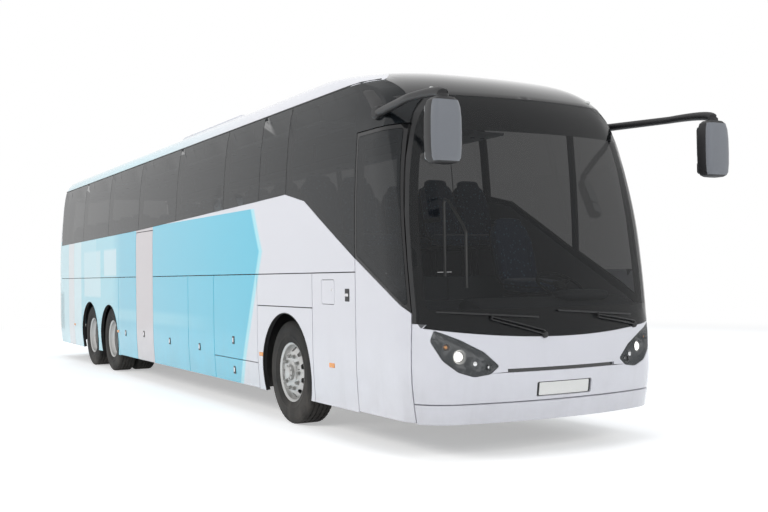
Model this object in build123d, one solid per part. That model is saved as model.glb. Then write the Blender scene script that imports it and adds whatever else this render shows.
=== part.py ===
from build123d import *
import math
import os

# Overall sizes. Lengths run back from the nose, heights up from the ground.
body_length = 14165
half_width = 1275
front_overhang = 2860
wheelbase = 7190
tag_spacing = 1350
mirror_reach = 430
front_x = (body_length - mirror_reach) / 2
rear_x = front_x - body_length

# Walls, glass and gaps
wall = 50
glass_thickness = 12
bond_gap = 0.3
seam = 8
lamp_depth = 110

# Body form
skirt_height = 290
nose_radius = 3800
tail_radius = 16000
roof_height = 3450
# Level sections: height, narrowing each side, nose set back, nose corner radius, tail set in, tail corner radius
body_sections = [
    (skirt_height, 25, 60, 410, 40, 260),
    (620, 4, 0, 420, 0, 270),
    (1100, 0, 25, 420, 5, 270),
    (1600, 0, 78, 420, 15, 265),
    (2000, 2, 145, 420, 30, 260),
    (2450, 20, 258, 440, 52, 260),
    (2850, 50, 392, 500, 84, 260),
    (3010, 68, 490, 560, 105, 270),
    (3110, 84, 595, 620, 120, 275),
    (3200, 104, 750, 680, 140, 280),
    (3270, 128, 940, 720, 165, 300),
    (3335, 165, 1205, 750, 205, 330),
    (3385, 225, 1500, 780, 270, 370),
    (3425, 310, 1860, 800, 350, 420),
    (roof_height, 430, 2270, 800, 470, 480),
]
dome_start = 3150

# Seams between body panels
door_front = 400
door_rear = 1300
door_top = 2750
door_top_front = 600
door_sill = 300
screen_lean = 45
flap_top = 1520
rear_corner = 425
rear_seam = body_length - rear_corner
roof_seam = 3215
dome_seam = 3010
dome_reach = 1050
screen_base = 975
screen_base_corner = 1090
bumper_top = 695
mask_gap = 0.3
mask_slot = 28
mask_tab = 560
lamp_line = 1150
tow_y = -430
tow_z = 470
tow_radius = 18
plate_half = 285
plate_low = 485
plate_high = 605
plate_depth = 16
# Lower edge of the side glass: distance from the nose, height
belt_line = [(rear_seam, 2170), (8260, 2220), (3700, 2310), (2850, 2330), (2380, 2230), (door_rear, 1640)]
door_belt_front = 1170

# Wheels
tyre_radius = 522
tyre_width = 295
bead_radius = 286
rim_width = 250
wheel_y = 1078
twin_spacing = 335
spindle_radius = 45
run_gap = 0.5
bellows_radius = 58
king_pin_y = 905
front_arch_radius = 605
drive_arch_radius = 560
tag_arch_radius = 585
arch_inner_y = 500
front_axle_s = front_overhang
drive_axle_s = front_overhang + wheelbase
tag_axle_s = drive_axle_s + tag_spacing

# Luggage hold between the front and drive arches
hold_floor = 345
hold_front = front_axle_s + front_arch_radius + 137
hold_back = drive_axle_s - drive_arch_radius - 62
flaps_front = hold_front - 2
flaps_rear = hold_back + 2

# Side doors and luggage flaps
middle_door_front = 7525
middle_door_rear = 8395
middle_door_top = 2180
# Flaps: name, front seam, rear seam, side
flap_table = [
    ("luggage_flap_right_1", flaps_front, 4980, -1),
    ("luggage_flap_right_2", 4980, 5950, -1),
    ("luggage_flap_right_3", 5950, middle_door_front - 5, -1),
    ("luggage_flap_right_4", middle_door_rear + 5, flaps_rear, -1),
    ("luggage_flap_left_1", flaps_front, 5540, 1),
    ("luggage_flap_left_2", 5540, 7480, 1),
    ("luggage_flap_left_3", 7480, flaps_rear, 1),
]
flap_bottom = 300
ear_inset = 220
ear_width = 70
ear_depth = 14
ear_overlap = 40

# Rear end
rear_zone = rear_seam - 340
rear_bumper_top = 560
engine_lid_half = 880
engine_lid_low = 600
engine_lid_high = 1620
louvre_count = 8
louvre_pitch = 52
louvre_height = 16
louvre_inner = 60
louvre_outer = 760
louvre_low = 1120

# Door arms
arm_length = 600
arm_inset = 150
arm_column_back = 95
arm_width = 45
arm_height = 50
arm_rise = 200
eye_radius = 30
pin_radius = 14
lug_spread = 60
lug_thickness = 24
column_radius = 28
column_height = 900

# Floors and stairs
floor_sheet = 40
deck_height = 1470
platform_height = 900
platform_front = 760
bulkhead = 40
deck_front = 1900
deck_tail_gap = 60
step_count = 4
stair_front = 420
stair_gap = 60
stair_side_gap = 15
stair_run = 290
stair_foot = 1420
stair_inner_y = 60
stair_outer_y = 1060
well_front = middle_door_front + 35
well_rear = middle_door_rear - 35
well_inner_y = -480
well_tread = 120
well_plate = 3
well_side = 14
well_clear = 40
seat_foot_y = 710
rail_half = 50
rail_height = 5
floor_half = half_width - wall - 30

os.makedirs("parts", exist_ok=True)


def at(distance):
    """The X place of a distance back from the nose."""
    return front_x - distance


def keep(name, shape):
    """Writes one piece under its node name."""
    solids = shape.solids()
    export_step(Compound(children=list(solids)) if len(solids) > 1 else solids[0], f"parts/{name}.step")


def brick(front, back, low_y, high_y, low_z, high_z):
    """A square block between two distances from the nose, two widths and two heights."""
    size = Box(back - front, high_y - low_y, high_z - low_z)
    return Pos(at((front + back) / 2), (low_y + high_y) / 2, (low_z + high_z) / 2) * size


def side_cut(points, low_y, high_y):
    """A block with an outline of (distance from the nose, height), between two widths."""
    face = Face(Wire.make_polygon([Vector(at(s), low_y, z) for s, z in points], close=True))
    return extrude(face, amount=high_y - low_y, dir=(0, 1, 0))


def front_cut(points, front, back):
    """A block with an outline of (width, height), between two distances from the nose."""
    face = Face(Wire.make_polygon([Vector(at(back), y, z) for y, z in points], close=True))
    return extrude(face, amount=back - front, dir=(1, 0, 0))


def disc(distance, y, z, radius, width):
    """A cylinder across the coach."""
    return Pos(at(distance), y, z) * Rot(90, 0, 0) * Cylinder(radius, width)


def plan_section(height, narrow, nose, nose_corner, tail, tail_corner, inset):
    """One level section of the body: bowed nose and tail, straight sides and round corners."""
    width = half_width - narrow - inset
    nose_x = at(nose + inset)
    tail_x = rear_x + tail + inset
    side_front = nose_x - nose_radius + math.sqrt(nose_radius**2 - width**2)
    side_rear = tail_x + tail_radius - math.sqrt(tail_radius**2 - width**2)
    edges = [
        ThreePointArc((side_front, -width), (nose_x, 0), (side_front, width)),
        Line((side_front, width), (side_rear, width)),
        ThreePointArc((side_rear, width), (tail_x, 0), (side_rear, -width)),
        Line((side_rear, -width), (side_front, -width)),
    ]
    face = Face(Wire(edges))
    for corner, pick in ((nose_corner, 1), (tail_corner, -1)):
        ends = [v for v in face.vertices() if pick * (v.X - (nose_x + tail_x) / 2) > 0]
        ends = [v for v in ends if abs(abs(v.Y) - width) < 1]
        face = face.fillet_2d(max(corner - inset, 20), ends)
    return Pos(0, 0, height) * face


def envelope(inset):
    """The body's outer form, or that form drawn in by a wall."""
    faces, levels = [], []
    for height, narrow, nose, nose_corner, tail, tail_corner in body_sections:
        level = height
        if height == skirt_height and inset:
            level = height - 60
        if height > dome_start:
            level = height - inset
            if level <= levels[-1]:
                continue
            if height == roof_height:
                narrow, nose, tail = narrow - inset, nose - inset, tail - inset
        levels.append(level)
        faces.append(plan_section(level, narrow, nose, nose_corner, tail, tail_corner, inset))
    return loft(faces, ruled=True)


outer = envelope(0)
under_glass = envelope(glass_thickness)
frame_face = envelope(glass_thickness + bond_gap)
inner = envelope(wall)
shell = outer - inner
glass_layer = outer - under_glass
frame_layer = frame_face - inner
far = half_width + 200


def lean(height):
    """Where the front edge of the door and side glass stands at a height."""
    if height <= door_belt_front:
        return door_front
    return door_front + (door_top_front - door_front) * (height - door_belt_front) / (door_top - door_belt_front)


def arch(distance, radius, side):
    """The round cut of one wheel arch."""
    low, high = (-far, -arch_inner_y) if side < 0 else (arch_inner_y, far)
    return disc(distance, (low + high) / 2, tyre_radius, radius, high - low)


def door_outline(grow):
    """Entry door outline, drawn in by a seam or grown."""
    return [
        (door_front - grow, door_sill - grow),
        (door_rear + grow, door_sill - grow),
        (door_rear + grow, door_top + grow),
        (lean(door_top) - grow, door_top + grow),
        (door_front - grow, door_belt_front),
    ]


def middle_outline(grow):
    """Middle door outline."""
    return [
        (middle_door_front - grow, door_sill - grow),
        (middle_door_rear + grow, door_sill - grow),
        (middle_door_rear + grow, middle_door_top + grow),
        (middle_door_front - grow, middle_door_top + grow),
    ]


def side_walls():
    """Painted walls below the glass, with the arches, flaps and doors cut out."""
    for side, name in ((-1, "side_wall_right"), (1, "side_wall_left")):
        front = door_rear if side < 0 else door_front
        outline = [(rear_seam - bond_gap, skirt_height - 20)]
        outline += [(s, z - bond_gap) for s, z in belt_line]
        if side > 0:
            outline.append((door_front, door_belt_front - bond_gap))
        outline.append((front, skirt_height - 20))
        low, high = (-far, -1) if side < 0 else (1, far)
        panel = shell & side_cut(outline, low, high)
        cuts = [arch(front_axle_s, front_arch_radius, side)]
        cuts.append(arch(drive_axle_s, drive_arch_radius, side))
        cuts.append(arch(tag_axle_s, tag_arch_radius, side))
        for flap, start, end, flap_side in flap_table:
            if flap_side == side:
                cuts.append(brick(start - 1, end + 1, low, high, 0, flap_top + seam))
        if side < 0:
            cuts.append(side_cut(door_outline(seam), low, high))
            cuts.append(side_cut(middle_outline(seam), low, high))
            cuts.append(brick(middle_door_front - seam, middle_door_rear + seam, low, high, 0, door_sill + 50))
            cuts.append(brick(door_front - seam, door_rear + seam, low, high, 0, door_sill + 50))
        keep(name, panel - cuts)


def side_glass_outline(side):
    """The band of side glass on one side."""
    line = list(belt_line)
    if side < 0:
        line[-1] = (door_rear + seam, belt_at(door_rear + seam))
        line += [(door_rear + seam, door_top + seam), (lean(door_top + seam), door_top + seam)]
    else:
        line += [(door_front, door_belt_front), (lean(door_top), door_top)]
    line += [(lean(roof_seam), roof_seam), (rear_seam, roof_seam)]
    return line


frame_rail = 55
frame_edge = 60
# Window posts: front edge, rear edge, on both sides
window_posts = [(2780, 2880), (4610, 4710), (6420, 6520), (8230, 8330), (10040, 10140), (11850, 11950)]


def dome_corner(grow):
    """The part of the front dome between the side windows, above the windscreen."""
    reach = dome_reach - grow
    return brick(door_front, 3 * door_front, -reach, reach, dome_seam + grow, roof_seam + wall)


def side_glazing():
    """Side panes as one dark band, with the posts behind them."""
    panes, frames = [], []
    for side in (-1, 1):
        low, high = (-far, -1) if side < 0 else (1, far)
        band = side_cut(side_glass_outline(side), low, high) - dome_corner(0)
        panes += (glass_layer & band).solids()
        frame = (frame_layer & band).solids()[0]
        holes = []
        edges = [door_rear + 60] + [v for post in window_posts for v in post] + [rear_seam - 90]
        for start, end in zip(edges[0::2], edges[1::2]):
            bottoms = [(s, belt_at(s) + frame_rail) for s in (start, end)]
            mid = sorted((s, z + frame_rail) for s, z in belt_line if start < s < end)
            ring = [bottoms[0]] + mid + [bottoms[1], (end, roof_seam - frame_edge), (start, roof_seam - frame_edge)]
            holes.append(side_cut(ring, low, high))
        if side > 0:
            top = dome_seam - 10
            ring = [(door_front + frame_edge, door_belt_front + 110), (door_rear, belt_line[-1][1] + 75),
                    (door_rear, top), (lean(top) + frame_edge, top)]
            holes.append(side_cut(ring, low, high))
        frames.append(frame - holes)
    keep("side_glass", Compound(children=panes))
    strips = []
    for side in (-1, 1):
        low, high = (-far, -1) if side < 0 else (1, far)
        heights = (screen_base_corner + 10, door_belt_front, dome_seam - bond_gap)
        gap = seam if side < 0 else bond_gap
        ring = [(lean(height) - gap, height) for height in heights]
        ring += [(lean(height) - screen_lean, height) for height in reversed(heights)]
        strips += (shell & side_cut(ring, low, high)).solids()
    keep("window_pillars", Compound(children=[s for f in frames for s in f.solids()] + strips))


def belt_at(distance):
    """Height of the belt line at a distance from the nose."""
    line = sorted(belt_line)
    for (s0, z0), (s1, z1) in zip(line, line[1:]):
        if s0 <= distance <= s1:
            return z0 + (z1 - z0) * (distance - s0) / (s1 - s0)
    return line[0][1] if distance < line[0][0] else line[-1][1]


def screen_base_cut(drop, top):
    """The region above the windscreen's bowed lower edge, lowered by a drop."""
    arc = ThreePointArc(
        (at(2000), -far, screen_base_corner + 20 - drop),
        (at(2000), 0, screen_base - drop),
        (at(2000), far, screen_base_corner + 20 - drop),
    )
    rest = Polyline((at(2000), far, screen_base_corner + 20 - drop), (at(2000), far, top),
                    (at(2000), -far, top), (at(2000), -far, screen_base_corner + 20 - drop))
    return extrude(Face(Wire([arc] + rest.edges())), amount=2600, dir=(1, 0, 0))


# Headlamp outline on the right side: width, height
lamp_outline = [
    (-1136, 1047), (-1163, 961), (-1092, 805), (-981, 712), (-846, 669),
    (-711, 688), (-631, 750), (-759, 866), (-942, 963),
]


def front_end():
    """Windscreen, bumper with its plate recess, mask and headlamps."""
    edge = door_front - screen_lean - bond_gap
    ahead = [
        (-300, screen_base - 100), (edge, screen_base - 100), (edge, door_belt_front),
        (lean(dome_seam) - screen_lean - bond_gap, dome_seam - bond_gap), (-300, dome_seam - bond_gap),
    ]
    screen = glass_layer & side_cut(ahead, -far, far) & screen_base_cut(0, dome_seam + 50)
    keep("windscreen", screen)
    lamps = []
    lamp_blocks = []
    for side in (-1, 1):
        points = [(-side * y, z) for y, z in lamp_outline]
        lamp_blocks.append(front_cut(points, -300, door_front - 2))
        lamps += ((outer - envelope(lamp_depth)) & lamp_blocks[-1]).solids()
    top = screen_base_corner + 10 - bond_gap
    nose = shell & brick(-300, door_front - bond_gap, -far, far, skirt_height - 20, top)
    door_side = brick(door_front - seam, door_front + 50, -far, 0, 0, 1300)
    nose = nose - [door_side, screen_base_cut(bond_gap, dome_seam)]
    middle = brick(-300, 450, -lamp_line, lamp_line, bumper_top, 1300)
    socket = Pos(at(0), tow_y, tow_z) * Rot(0, 90, 0) * Cylinder(tow_radius, 400)
    recess = (outer - envelope(plate_depth)) & brick(-300, 450, -plate_half, plate_half, plate_low, plate_high)
    keep("front_bumper", nose - [middle, socket, recess] - lamp_blocks)
    zone = brick(-300, 450, -lamp_line + bond_gap, lamp_line - bond_gap, bumper_top + mask_gap, 1300)
    slot = brick(-300, 450, -mask_tab, mask_tab, 0, bumper_top + mask_slot)
    keep("front_mask", (nose & zone) - [slot] - lamp_blocks)
    return lamps


# Rear window outline: width, height
rear_window_outline = [(-1010, 2260), (1010, 2260), (930, 3130), (-930, 3130)]
# Rear lamps: inner edge, outer edge, bottom, top
rear_lamp = (960, 1175, 900, 1900)
rear_ear_s = body_length - wall - 15
rear_ear_y = 600


def window_ring(draw):
    """Rear window outline, drawn in by a distance or grown."""
    middle = sum(z for y, z in rear_window_outline) / len(rear_window_outline)
    ring = []
    for y, z in rear_window_outline:
        ring.append((math.copysign(abs(y) - draw, y), z + math.copysign(1, middle - z) * draw))
    return ring


def rear_end():
    """Rear wall with its window, louvred engine lid, bumper and lamps."""
    end = body_length + 300
    back = shell & brick(rear_seam, end, -far, far, skirt_height - 20, roof_seam)
    pane = glass_layer & front_cut(window_ring(0), rear_zone, end)
    pane_seat = glass_layer & front_cut(window_ring(-4), rear_zone, end)
    opening = front_cut(window_ring(60), rear_zone, end)
    lid = brick(rear_zone, end, -engine_lid_half, engine_lid_half, engine_lid_low, engine_lid_high)
    hole_half = engine_lid_half + seam
    hole = brick(rear_zone, end, -hole_half, hole_half, engine_lid_low - seam, engine_lid_high + seam)
    inner_y, outer_y, low_z, high_z = rear_lamp
    lamps = []
    lamp_blocks = []
    for side in (-1, 1):
        low, high = sorted((side * inner_y, side * outer_y))
        lamp_blocks.append(brick(rear_seam - 40, end, low, high, low_z, high_z))
        lamps += ((outer - inner) & lamp_blocks[-1]).solids()
    lower = brick(rear_zone, end, -far, far, 0, rear_bumper_top)
    keep("rear_panel", back - [lower, hole, opening, pane_seat] - lamp_blocks)
    keep("rear_bumper", back & brick(rear_zone, end, -far, far, 0, rear_bumper_top - bond_gap))
    keep("rear_window", pane)
    louvres = []
    for row in range(louvre_count):
        z = louvre_low + row * louvre_pitch
        for side in (-1, 1):
            low, high = sorted((side * louvre_inner, side * louvre_outer))
            louvres.append(brick(rear_zone, end, low, high, z, z + louvre_height))
    ears = []
    for y in (-rear_ear_y, rear_ear_y):
        ears.append(brick(rear_ear_s - ear_overlap, rear_ear_s + 16, y - ear_overlap, y + ear_overlap,
                          engine_lid_high - ear_overlap, engine_lid_high + seam - bond_gap))
    keep("engine_lid", (shell & lid) - louvres + ears)
    return lamps


# Entry door: how far the pane and the opening behind it stay inside the door's edges, and above its painted foot
door_pane_inset = (25, 45)
door_hole_inset = (75, 115)


def doors_and_flaps():
    """Entry door, middle door and luggage flaps, cut from the wall with their seams."""
    door = shell & side_cut(door_outline(0), -far, -1)
    rings = []
    for edge, foot in (door_pane_inset, door_hole_inset):
        rear, top = door_rear - edge, door_top - edge - 5
        low_front, low_rear = door_belt_front + foot, belt_line[-1][1] + foot - 35
        ring = [(door_front + edge + 5, low_front), (rear, low_rear), (rear, top), (lean(door_top) + edge, top)]
        rings.append(side_cut(ring, -far, -1))
    pane = glass_layer & rings[0]
    recess = rings[0] & (outer - frame_face)
    hole = rings[1]
    keep("entry_door", join_bracket(door - [recess] - [hole], door_front, door_sill))
    keep("entry_door_glass", pane)
    middle = shell & side_cut(middle_outline(0), -far, -1)
    keep("middle_door", join_bracket(middle, middle_door_front, door_sill))
    for name, start, end, side in flap_table:
        low, high = (-far, -1) if side < 0 else (1, far)
        flap = shell & brick(start + seam / 2, end - seam / 2, low, high, flap_bottom, flap_top)
        keep(name, flap + hinge_ears(start + ear_inset, end - ear_inset, side))


def hinge_ears(first, last, side):
    """Two ears at the top of a flap that reach up to the wall above it."""
    face = side * (half_width - wall)
    low_y, high_y = sorted((face - side * ear_depth, face + side * ear_depth))
    top = flap_top + seam - bond_gap
    half = ear_width / 2
    return [brick(s - half, s + half, low_y, high_y, flap_top - ear_overlap, top) for s in (first, last)]


def join_bracket(door, front, sill):
    """Adds the lug that the arm's end turns in, on the inside of a door."""
    pin_s = front + arm_column_back + arm_length
    lug_y = -(half_width - arm_inset)
    wall_y = -(half_width - wall + 12)
    lugs = []
    for height in (sill + arm_rise - lug_spread, sill + arm_rise + lug_spread):
        low, high = height - lug_thickness / 2, height + lug_thickness / 2
        lugs.append(brick(pin_s - eye_radius, pin_s + eye_radius, wall_y, lug_y + eye_radius, low, high))
    pin = Pos(at(pin_s), lug_y, sill + arm_rise) * Cylinder(pin_radius, 2 * lug_spread)
    return door + lugs + [pin]


def door_arms():
    """Column and swinging arm of each door."""
    for name, front in (("entry_door_arm", door_front), ("middle_door_arm", middle_door_front)):
        column_s = front + arm_column_back
        y = -(half_width - arm_inset)
        z = door_sill + arm_rise
        foot = hold_floor + bond_gap + (well_plate if front == middle_door_front else 0)
        column = Pos(at(column_s), y, foot + column_height / 2) * Cylinder(column_radius, column_height)
        half, tall = arm_width / 2, arm_height / 2
        arm = brick(column_s, column_s + arm_length, y - half, y + half, z - tall, z + tall)
        eye = Pos(at(column_s + arm_length), y, z) * Cylinder(eye_radius, arm_height)
        bore = Pos(at(column_s + arm_length), y, z) * Cylinder(pin_radius + run_gap, arm_height + 10)
        keep(name, column + arm + eye - bore)


# Roof hatches: distance from the nose of each middle
hatch_spots = (3300, body_length - 2865)
hatch_half = 380
hatch_rise = 45
unit_front = 5050
unit_rear = 8250
unit_half = 640
unit_top = 3615
unit_edge = 60
fan_count = 4
fan_pitch = 470
fan_first = 5980
fan_radius = 170
fan_hub = 55
fan_depth = 24


def roof():
    """Roof shell with its two hatches, and the air conditioner with its fan wells."""
    edge = roof_seam + bond_gap
    ring = [
        (-300, dome_seam), (lean(dome_seam) - bond_gap, dome_seam), (lean(roof_seam) - bond_gap, edge),
        (body_length + 300, edge), (body_length + 300, 4200), (-300, 4200),
    ]
    top = shell & (side_cut(ring, -far, far) + dome_corner(bond_gap))
    for distance in hatch_spots:
        hatch = brick(distance - hatch_half, distance + hatch_half, -hatch_half, hatch_half,
                      roof_height - wall + 5, roof_height + hatch_rise)
        hatch = hatch.chamfer(18, None, hatch.faces().sort_by(Axis.Z)[-1].edges())
        top += hatch
    keep("roof_shell", top)
    unit = brick(unit_front, unit_rear, -unit_half, unit_half, roof_height + bond_gap, unit_top)
    foot, head = roof_height + 5, unit_top + 20
    nose = [(unit_front - 50, foot), (unit_front - 50, head), (unit_front + 500, head), (unit_front, foot + 10)]
    tail = [(unit_rear + 50, foot), (unit_rear + 50, head), (unit_rear - 300, head), (unit_rear, foot + 10)]
    unit = unit - [side_cut(ring, -far, far) for ring in (nose, tail)]
    unit = unit.fillet(unit_edge, unit.edges().filter_by(Axis.X).sort_by(Axis.Z)[-2:])
    fans = []
    for k in range(fan_count):
        centre = Pos(at(fan_first + k * fan_pitch), 0, unit_top)
        fans.append(centre * (Cylinder(fan_radius, 2 * fan_depth) - Cylinder(fan_hub, 2 * fan_depth)))
    keep("roof_conditioner", unit - fans)


def floors():
    """Passenger deck with its seat rails and the well of the middle door."""
    under = deck_height - floor_sheet
    deck = brick(deck_front, rear_seam - deck_tail_gap, -floor_half, floor_half, under, deck_height)
    reach = half_width - wall - bond_gap
    for start, end in ((deck_front + 60, hold_front - 50), (hold_back + 50, rear_seam - 2 * deck_tail_gap)):
        deck += brick(start, end, -reach, reach, under, deck_height)
    deck -= brick(well_front, well_rear, -far, well_inner_y, deck_height - 400, deck_height + 100)
    for side in (-1, 1):
        low, high = sorted((side * (seat_foot_y - rail_half), side * (seat_foot_y + rail_half)))
        rail = brick(deck_front + 60, rear_seam - seat_tail_gap, low, high, deck_height, deck_height + rail_height)
        deck += rail - brick(well_front - well_clear, well_rear + well_clear, -far, well_inner_y, 0, roof_height)
    keep("passenger_deck", deck)


def platform():
    """The driver's platform with the riser behind it."""
    low, high = stair_inner_y + bond_gap, floor_half
    bottom, rear = platform_height - floor_sheet, deck_front - bond_gap
    plate = brick(platform_front, rear, low, high, bottom, platform_height)
    back = brick(deck_front - floor_sheet, rear, low, high, bottom, deck_height)
    keep("driver_platform", plate + back)


def entry_stairs():
    """Steps from the entry door up to the aisle."""
    foot, reach = hold_floor - floor_sheet, floor_half - stair_side_gap
    stairs = brick(door_front + stair_gap, stair_foot, -reach, stair_inner_y, foot, hold_floor)
    rise = (deck_height - hold_floor) / (step_count + 1)
    for k in range(1, step_count + 1):
        z = hold_floor + rise * k
        edge = stair_front + stair_run * k
        back = stair_foot + 70 if k < 3 else deck_front - bond_gap
        stairs += brick(edge, back, -stair_outer_y, stair_inner_y, z - floor_sheet, z)
        stairs += brick(edge, edge + floor_sheet, -stair_outer_y, stair_inner_y, z - rise, z)
    low = hold_floor + rise * step_count
    stairs += brick(deck_front - 20, deck_front - bond_gap, -stair_outer_y, stair_inner_y, low, deck_height)
    keep("entry_stairs", stairs)


def middle_stairs():
    """Steps in the well of the middle door, between its two side plates."""
    front, rear = well_front + bond_gap, well_rear - bond_gap
    base = hold_floor + well_plate + bond_gap
    rise = (deck_height - hold_floor) / (step_count + 1)
    stairs = []
    for k in range(1, step_count + 1):
        z = hold_floor + rise * k
        edge = well_inner_y - (step_count + 1) * well_tread + well_tread * k
        bottom = base if k == 1 else z - rise
        stairs.append(brick(front, rear, edge, well_inner_y - bond_gap, z - floor_sheet, z))
        stairs.append(brick(front, rear, edge, edge + floor_sheet, bottom, z))
    low = hold_floor + rise * step_count
    stairs.append(brick(front, rear, well_inner_y - floor_sheet, well_inner_y - bond_gap, low, deck_height))
    top = deck_height - floor_sheet - bond_gap
    for start, end in ((front - well_side, front), (rear, rear + well_side)):
        stairs.append(brick(start, end, -stair_outer_y, well_inner_y - bond_gap, base, top))
    keep("middle_stairs", stairs[0] + stairs[1:])


beam_y = 430
beam_half = 40
beam_front = 1500
beam_rear = body_length - 265
cross_half = 470
front_beam_low, front_beam_high = 620, 800
rear_beam_low, rear_beam_high = 760, 900
# Cross beams: front edge, bottom
cross_beams = [
    (beam_front, front_beam_low), (front_axle_s - 760, front_beam_low),
    (tag_axle_s + 750, rear_beam_low), (beam_rear - 100, rear_beam_low),
]
# Air bellows between axle and beam: axle, bottom above the wheel centre, top
bellows = [
    (front_axle_s, -30, front_beam_low), (drive_axle_s, 75, rear_beam_low), (tag_axle_s, 70, rear_beam_low),
]


def underframe():
    """Hold floor, bulkheads, long beams, cross beams and air bellows."""
    start, end = hold_front, hold_back
    floor = brick(start, end, -floor_half, floor_half, hold_floor - floor_sheet, hold_floor)
    walls = []
    top = deck_height - floor_sheet
    for s in (hold_front, hold_back - bulkhead):
        walls.append(brick(s, s + bulkhead, -floor_half, floor_half, hold_floor - floor_sheet, top))
    beams = []
    for y in (-beam_y, beam_y):
        low, high = y - beam_half, y + beam_half
        beams.append(brick(beam_front, start + 10, low, high, front_beam_low, front_beam_high))
        beams.append(brick(end - 10, beam_rear, low, high, rear_beam_low, rear_beam_high))
        for s, rise, high_z in bellows:
            low_z = tyre_radius + rise + bond_gap
            beams.append(Pos(at(s), y, (low_z + high_z) / 2) * Cylinder(bellows_radius, high_z - low_z))
    for s, z in cross_beams:
        beams.append(brick(s, s + 2 * beam_half, -cross_half, cross_half, z, z + 120))
    plate = brick(well_front - 20, well_rear + 20, -floor_half, well_inner_y, hold_floor, hold_floor + well_plate)
    keep("underframe", floor + walls + beams + [plate])


housing_sheet = 6
housing_top = 1200
housing_low = 420
axle_slot = 100
# Wheel rooms: front, back
wheel_rooms = [(front_axle_s - 645, hold_front - bond_gap), (hold_back + bond_gap, tag_axle_s + 650)]


def housings():
    """Wheel housings over the six wheels."""
    rooms = []
    for side in (-1, 1):
        slots = []
        for s in (front_axle_s, drive_axle_s, tag_axle_s):
            slots.append(brick(s - axle_slot, s + axle_slot, -far, far, 0, tyre_radius + 138))
        for front, back in wheel_rooms:
            low, high = sorted((side * (arch_inner_y - housing_sheet), side * floor_half))
            outer_box = brick(front, back, low, high, housing_low, housing_top)
            low, high = sorted((side * arch_inner_y, side * (half_width + 50)))
            roof = housing_top - housing_sheet
            inner_box = brick(front + housing_sheet, back - housing_sheet, low, high, 0, roof)
            rooms.append(outer_box - inner_box - slots)
    keep("wheel_housings", Compound(children=[s for r in rooms for s in r.solids()]))


first_row = 2150
row_pitch = 820
seat_inner_y = 280
seat_outer_y = 1140
cushion_height = 450
cushion_depth = 420
back_height = 1060
back_lean = 590
back_thickness = 110
foot_half = 40
seat_tail_gap = 200
driver_seat_front = 1050
driver_seat_y = 660
driver_seat_half = 240


def seat_profile(front, base):
    """Side outline of a seat: cushion, back and headrest."""
    underside = cushion_height - 120
    return [
        (front, base + underside), (front, base + cushion_height),
        (front + cushion_depth, base + cushion_height - 30), (front + back_lean, base + back_height),
        (front + back_lean + back_thickness, base + back_height),
        (front + 560, base + underside), (front + 300, base + underside - 30),
    ]


def seats():
    """Rows of double seats on both sides of the aisle, and the driver's seat."""
    blocks = []
    length = back_lean + back_thickness
    count = int((rear_seam - seat_tail_gap - first_row - length) / row_pitch) + 1
    for row in range(count):
        front = first_row + row_pitch * row
        for side in (-1, 1):
            if side < 0 and front < well_rear + well_clear and front + length > well_front - well_clear:
                continue
            low, high = sorted((side * seat_inner_y, side * seat_outer_y))
            seat = side_cut(seat_profile(front, deck_height), low, high)
            foot_low, foot_high = side * seat_foot_y - foot_half, side * seat_foot_y + foot_half
            foot_z = deck_height + rail_height + bond_gap
            foot = brick(front + 200, front + 380, foot_low, foot_high, foot_z, deck_height + 320)
            blocks.append(seat + foot)
    keep("passenger_seats", Compound(children=[s for b in blocks for s in b.solids()]))
    front, mid, half = driver_seat_front, driver_seat_y, driver_seat_half
    chair = side_cut(seat_profile(front, platform_height + 90), mid - half, mid + half)
    base = brick(front + 100, front + 400, mid - 100, mid + 100, platform_height + bond_gap, platform_height + 430)
    keep("driver_seat", chair + base)


# Dashboard outline: distance from the nose, height
board_outline = [(200, 1080), (330, 1190), (620, 1290), (760, 1240), (760, 930), (500, 930), (500, 1080)]
board_right = -560
wheel_centre_s = 840
wheel_centre_y = driver_seat_y - 20
wheel_centre_z = 1370
wheel_tilt = 32
wheel_ring = 225
wheel_grip = 16


def cab():
    """Dashboard and steering wheel."""
    left = floor_half - 40
    board = side_cut(board_outline, board_right, left)
    board = board + brick(700, 790, stair_inner_y, left, platform_height + bond_gap, 1100)
    board = board & envelope(lamp_depth + 15)
    keep("dashboard", board)
    centre = Pos(at(wheel_centre_s), wheel_centre_y, wheel_centre_z) * Rot(0, wheel_tilt, 0)
    rim = centre * Torus(wheel_ring, wheel_grip)
    hub = centre * Cylinder(wheel_ring / 5, 36)
    spokes = []
    for angle in (0, 120, 240):
        spokes.append(centre * Rot(0, 0, angle) * Pos(wheel_ring / 2 + 8, 0, 0) * Box(wheel_ring - 15, 34, 14))
    column = centre * Pos(0, 0, -120) * Cylinder(28, 240)
    keep("steering_wheel", rim + hub + spokes + column - board)


rack_front = 2300
rack_rear = rear_seam - 440
rack_low = 2990
rack_inner_y = 700
rack_outer_y = 1095
rack_sheet = 30
rack_rim = 110
hanger_pitch = 1800
hanger_start = 600


def racks():
    """Luggage racks along both sides under the roof."""
    shelves = []
    for side in (-1, 1):
        low, high = sorted((side * (rack_inner_y + 20), side * rack_outer_y))
        shelf = brick(rack_front, rack_rear, low, high, rack_low, rack_low + rack_sheet)
        low, high = sorted((side * rack_inner_y, side * (rack_inner_y + rack_sheet)))
        shelf = shelf + brick(rack_front, rack_rear, low, high, rack_low, rack_low + rack_rim)
        low, high = sorted((side * (rack_inner_y + 100), side * (rack_inner_y + 130)))
        hangers = []
        for s in range(rack_front + hanger_start, rack_rear, hanger_pitch):
            hangers.append(brick(s, s + 40, low, high, rack_low + 20, roof_height - wall - bond_gap))
        shelves.append(shelf + hangers)
    keep("luggage_racks", Compound(children=[s for r in shelves for s in r.solids()]))


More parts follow.
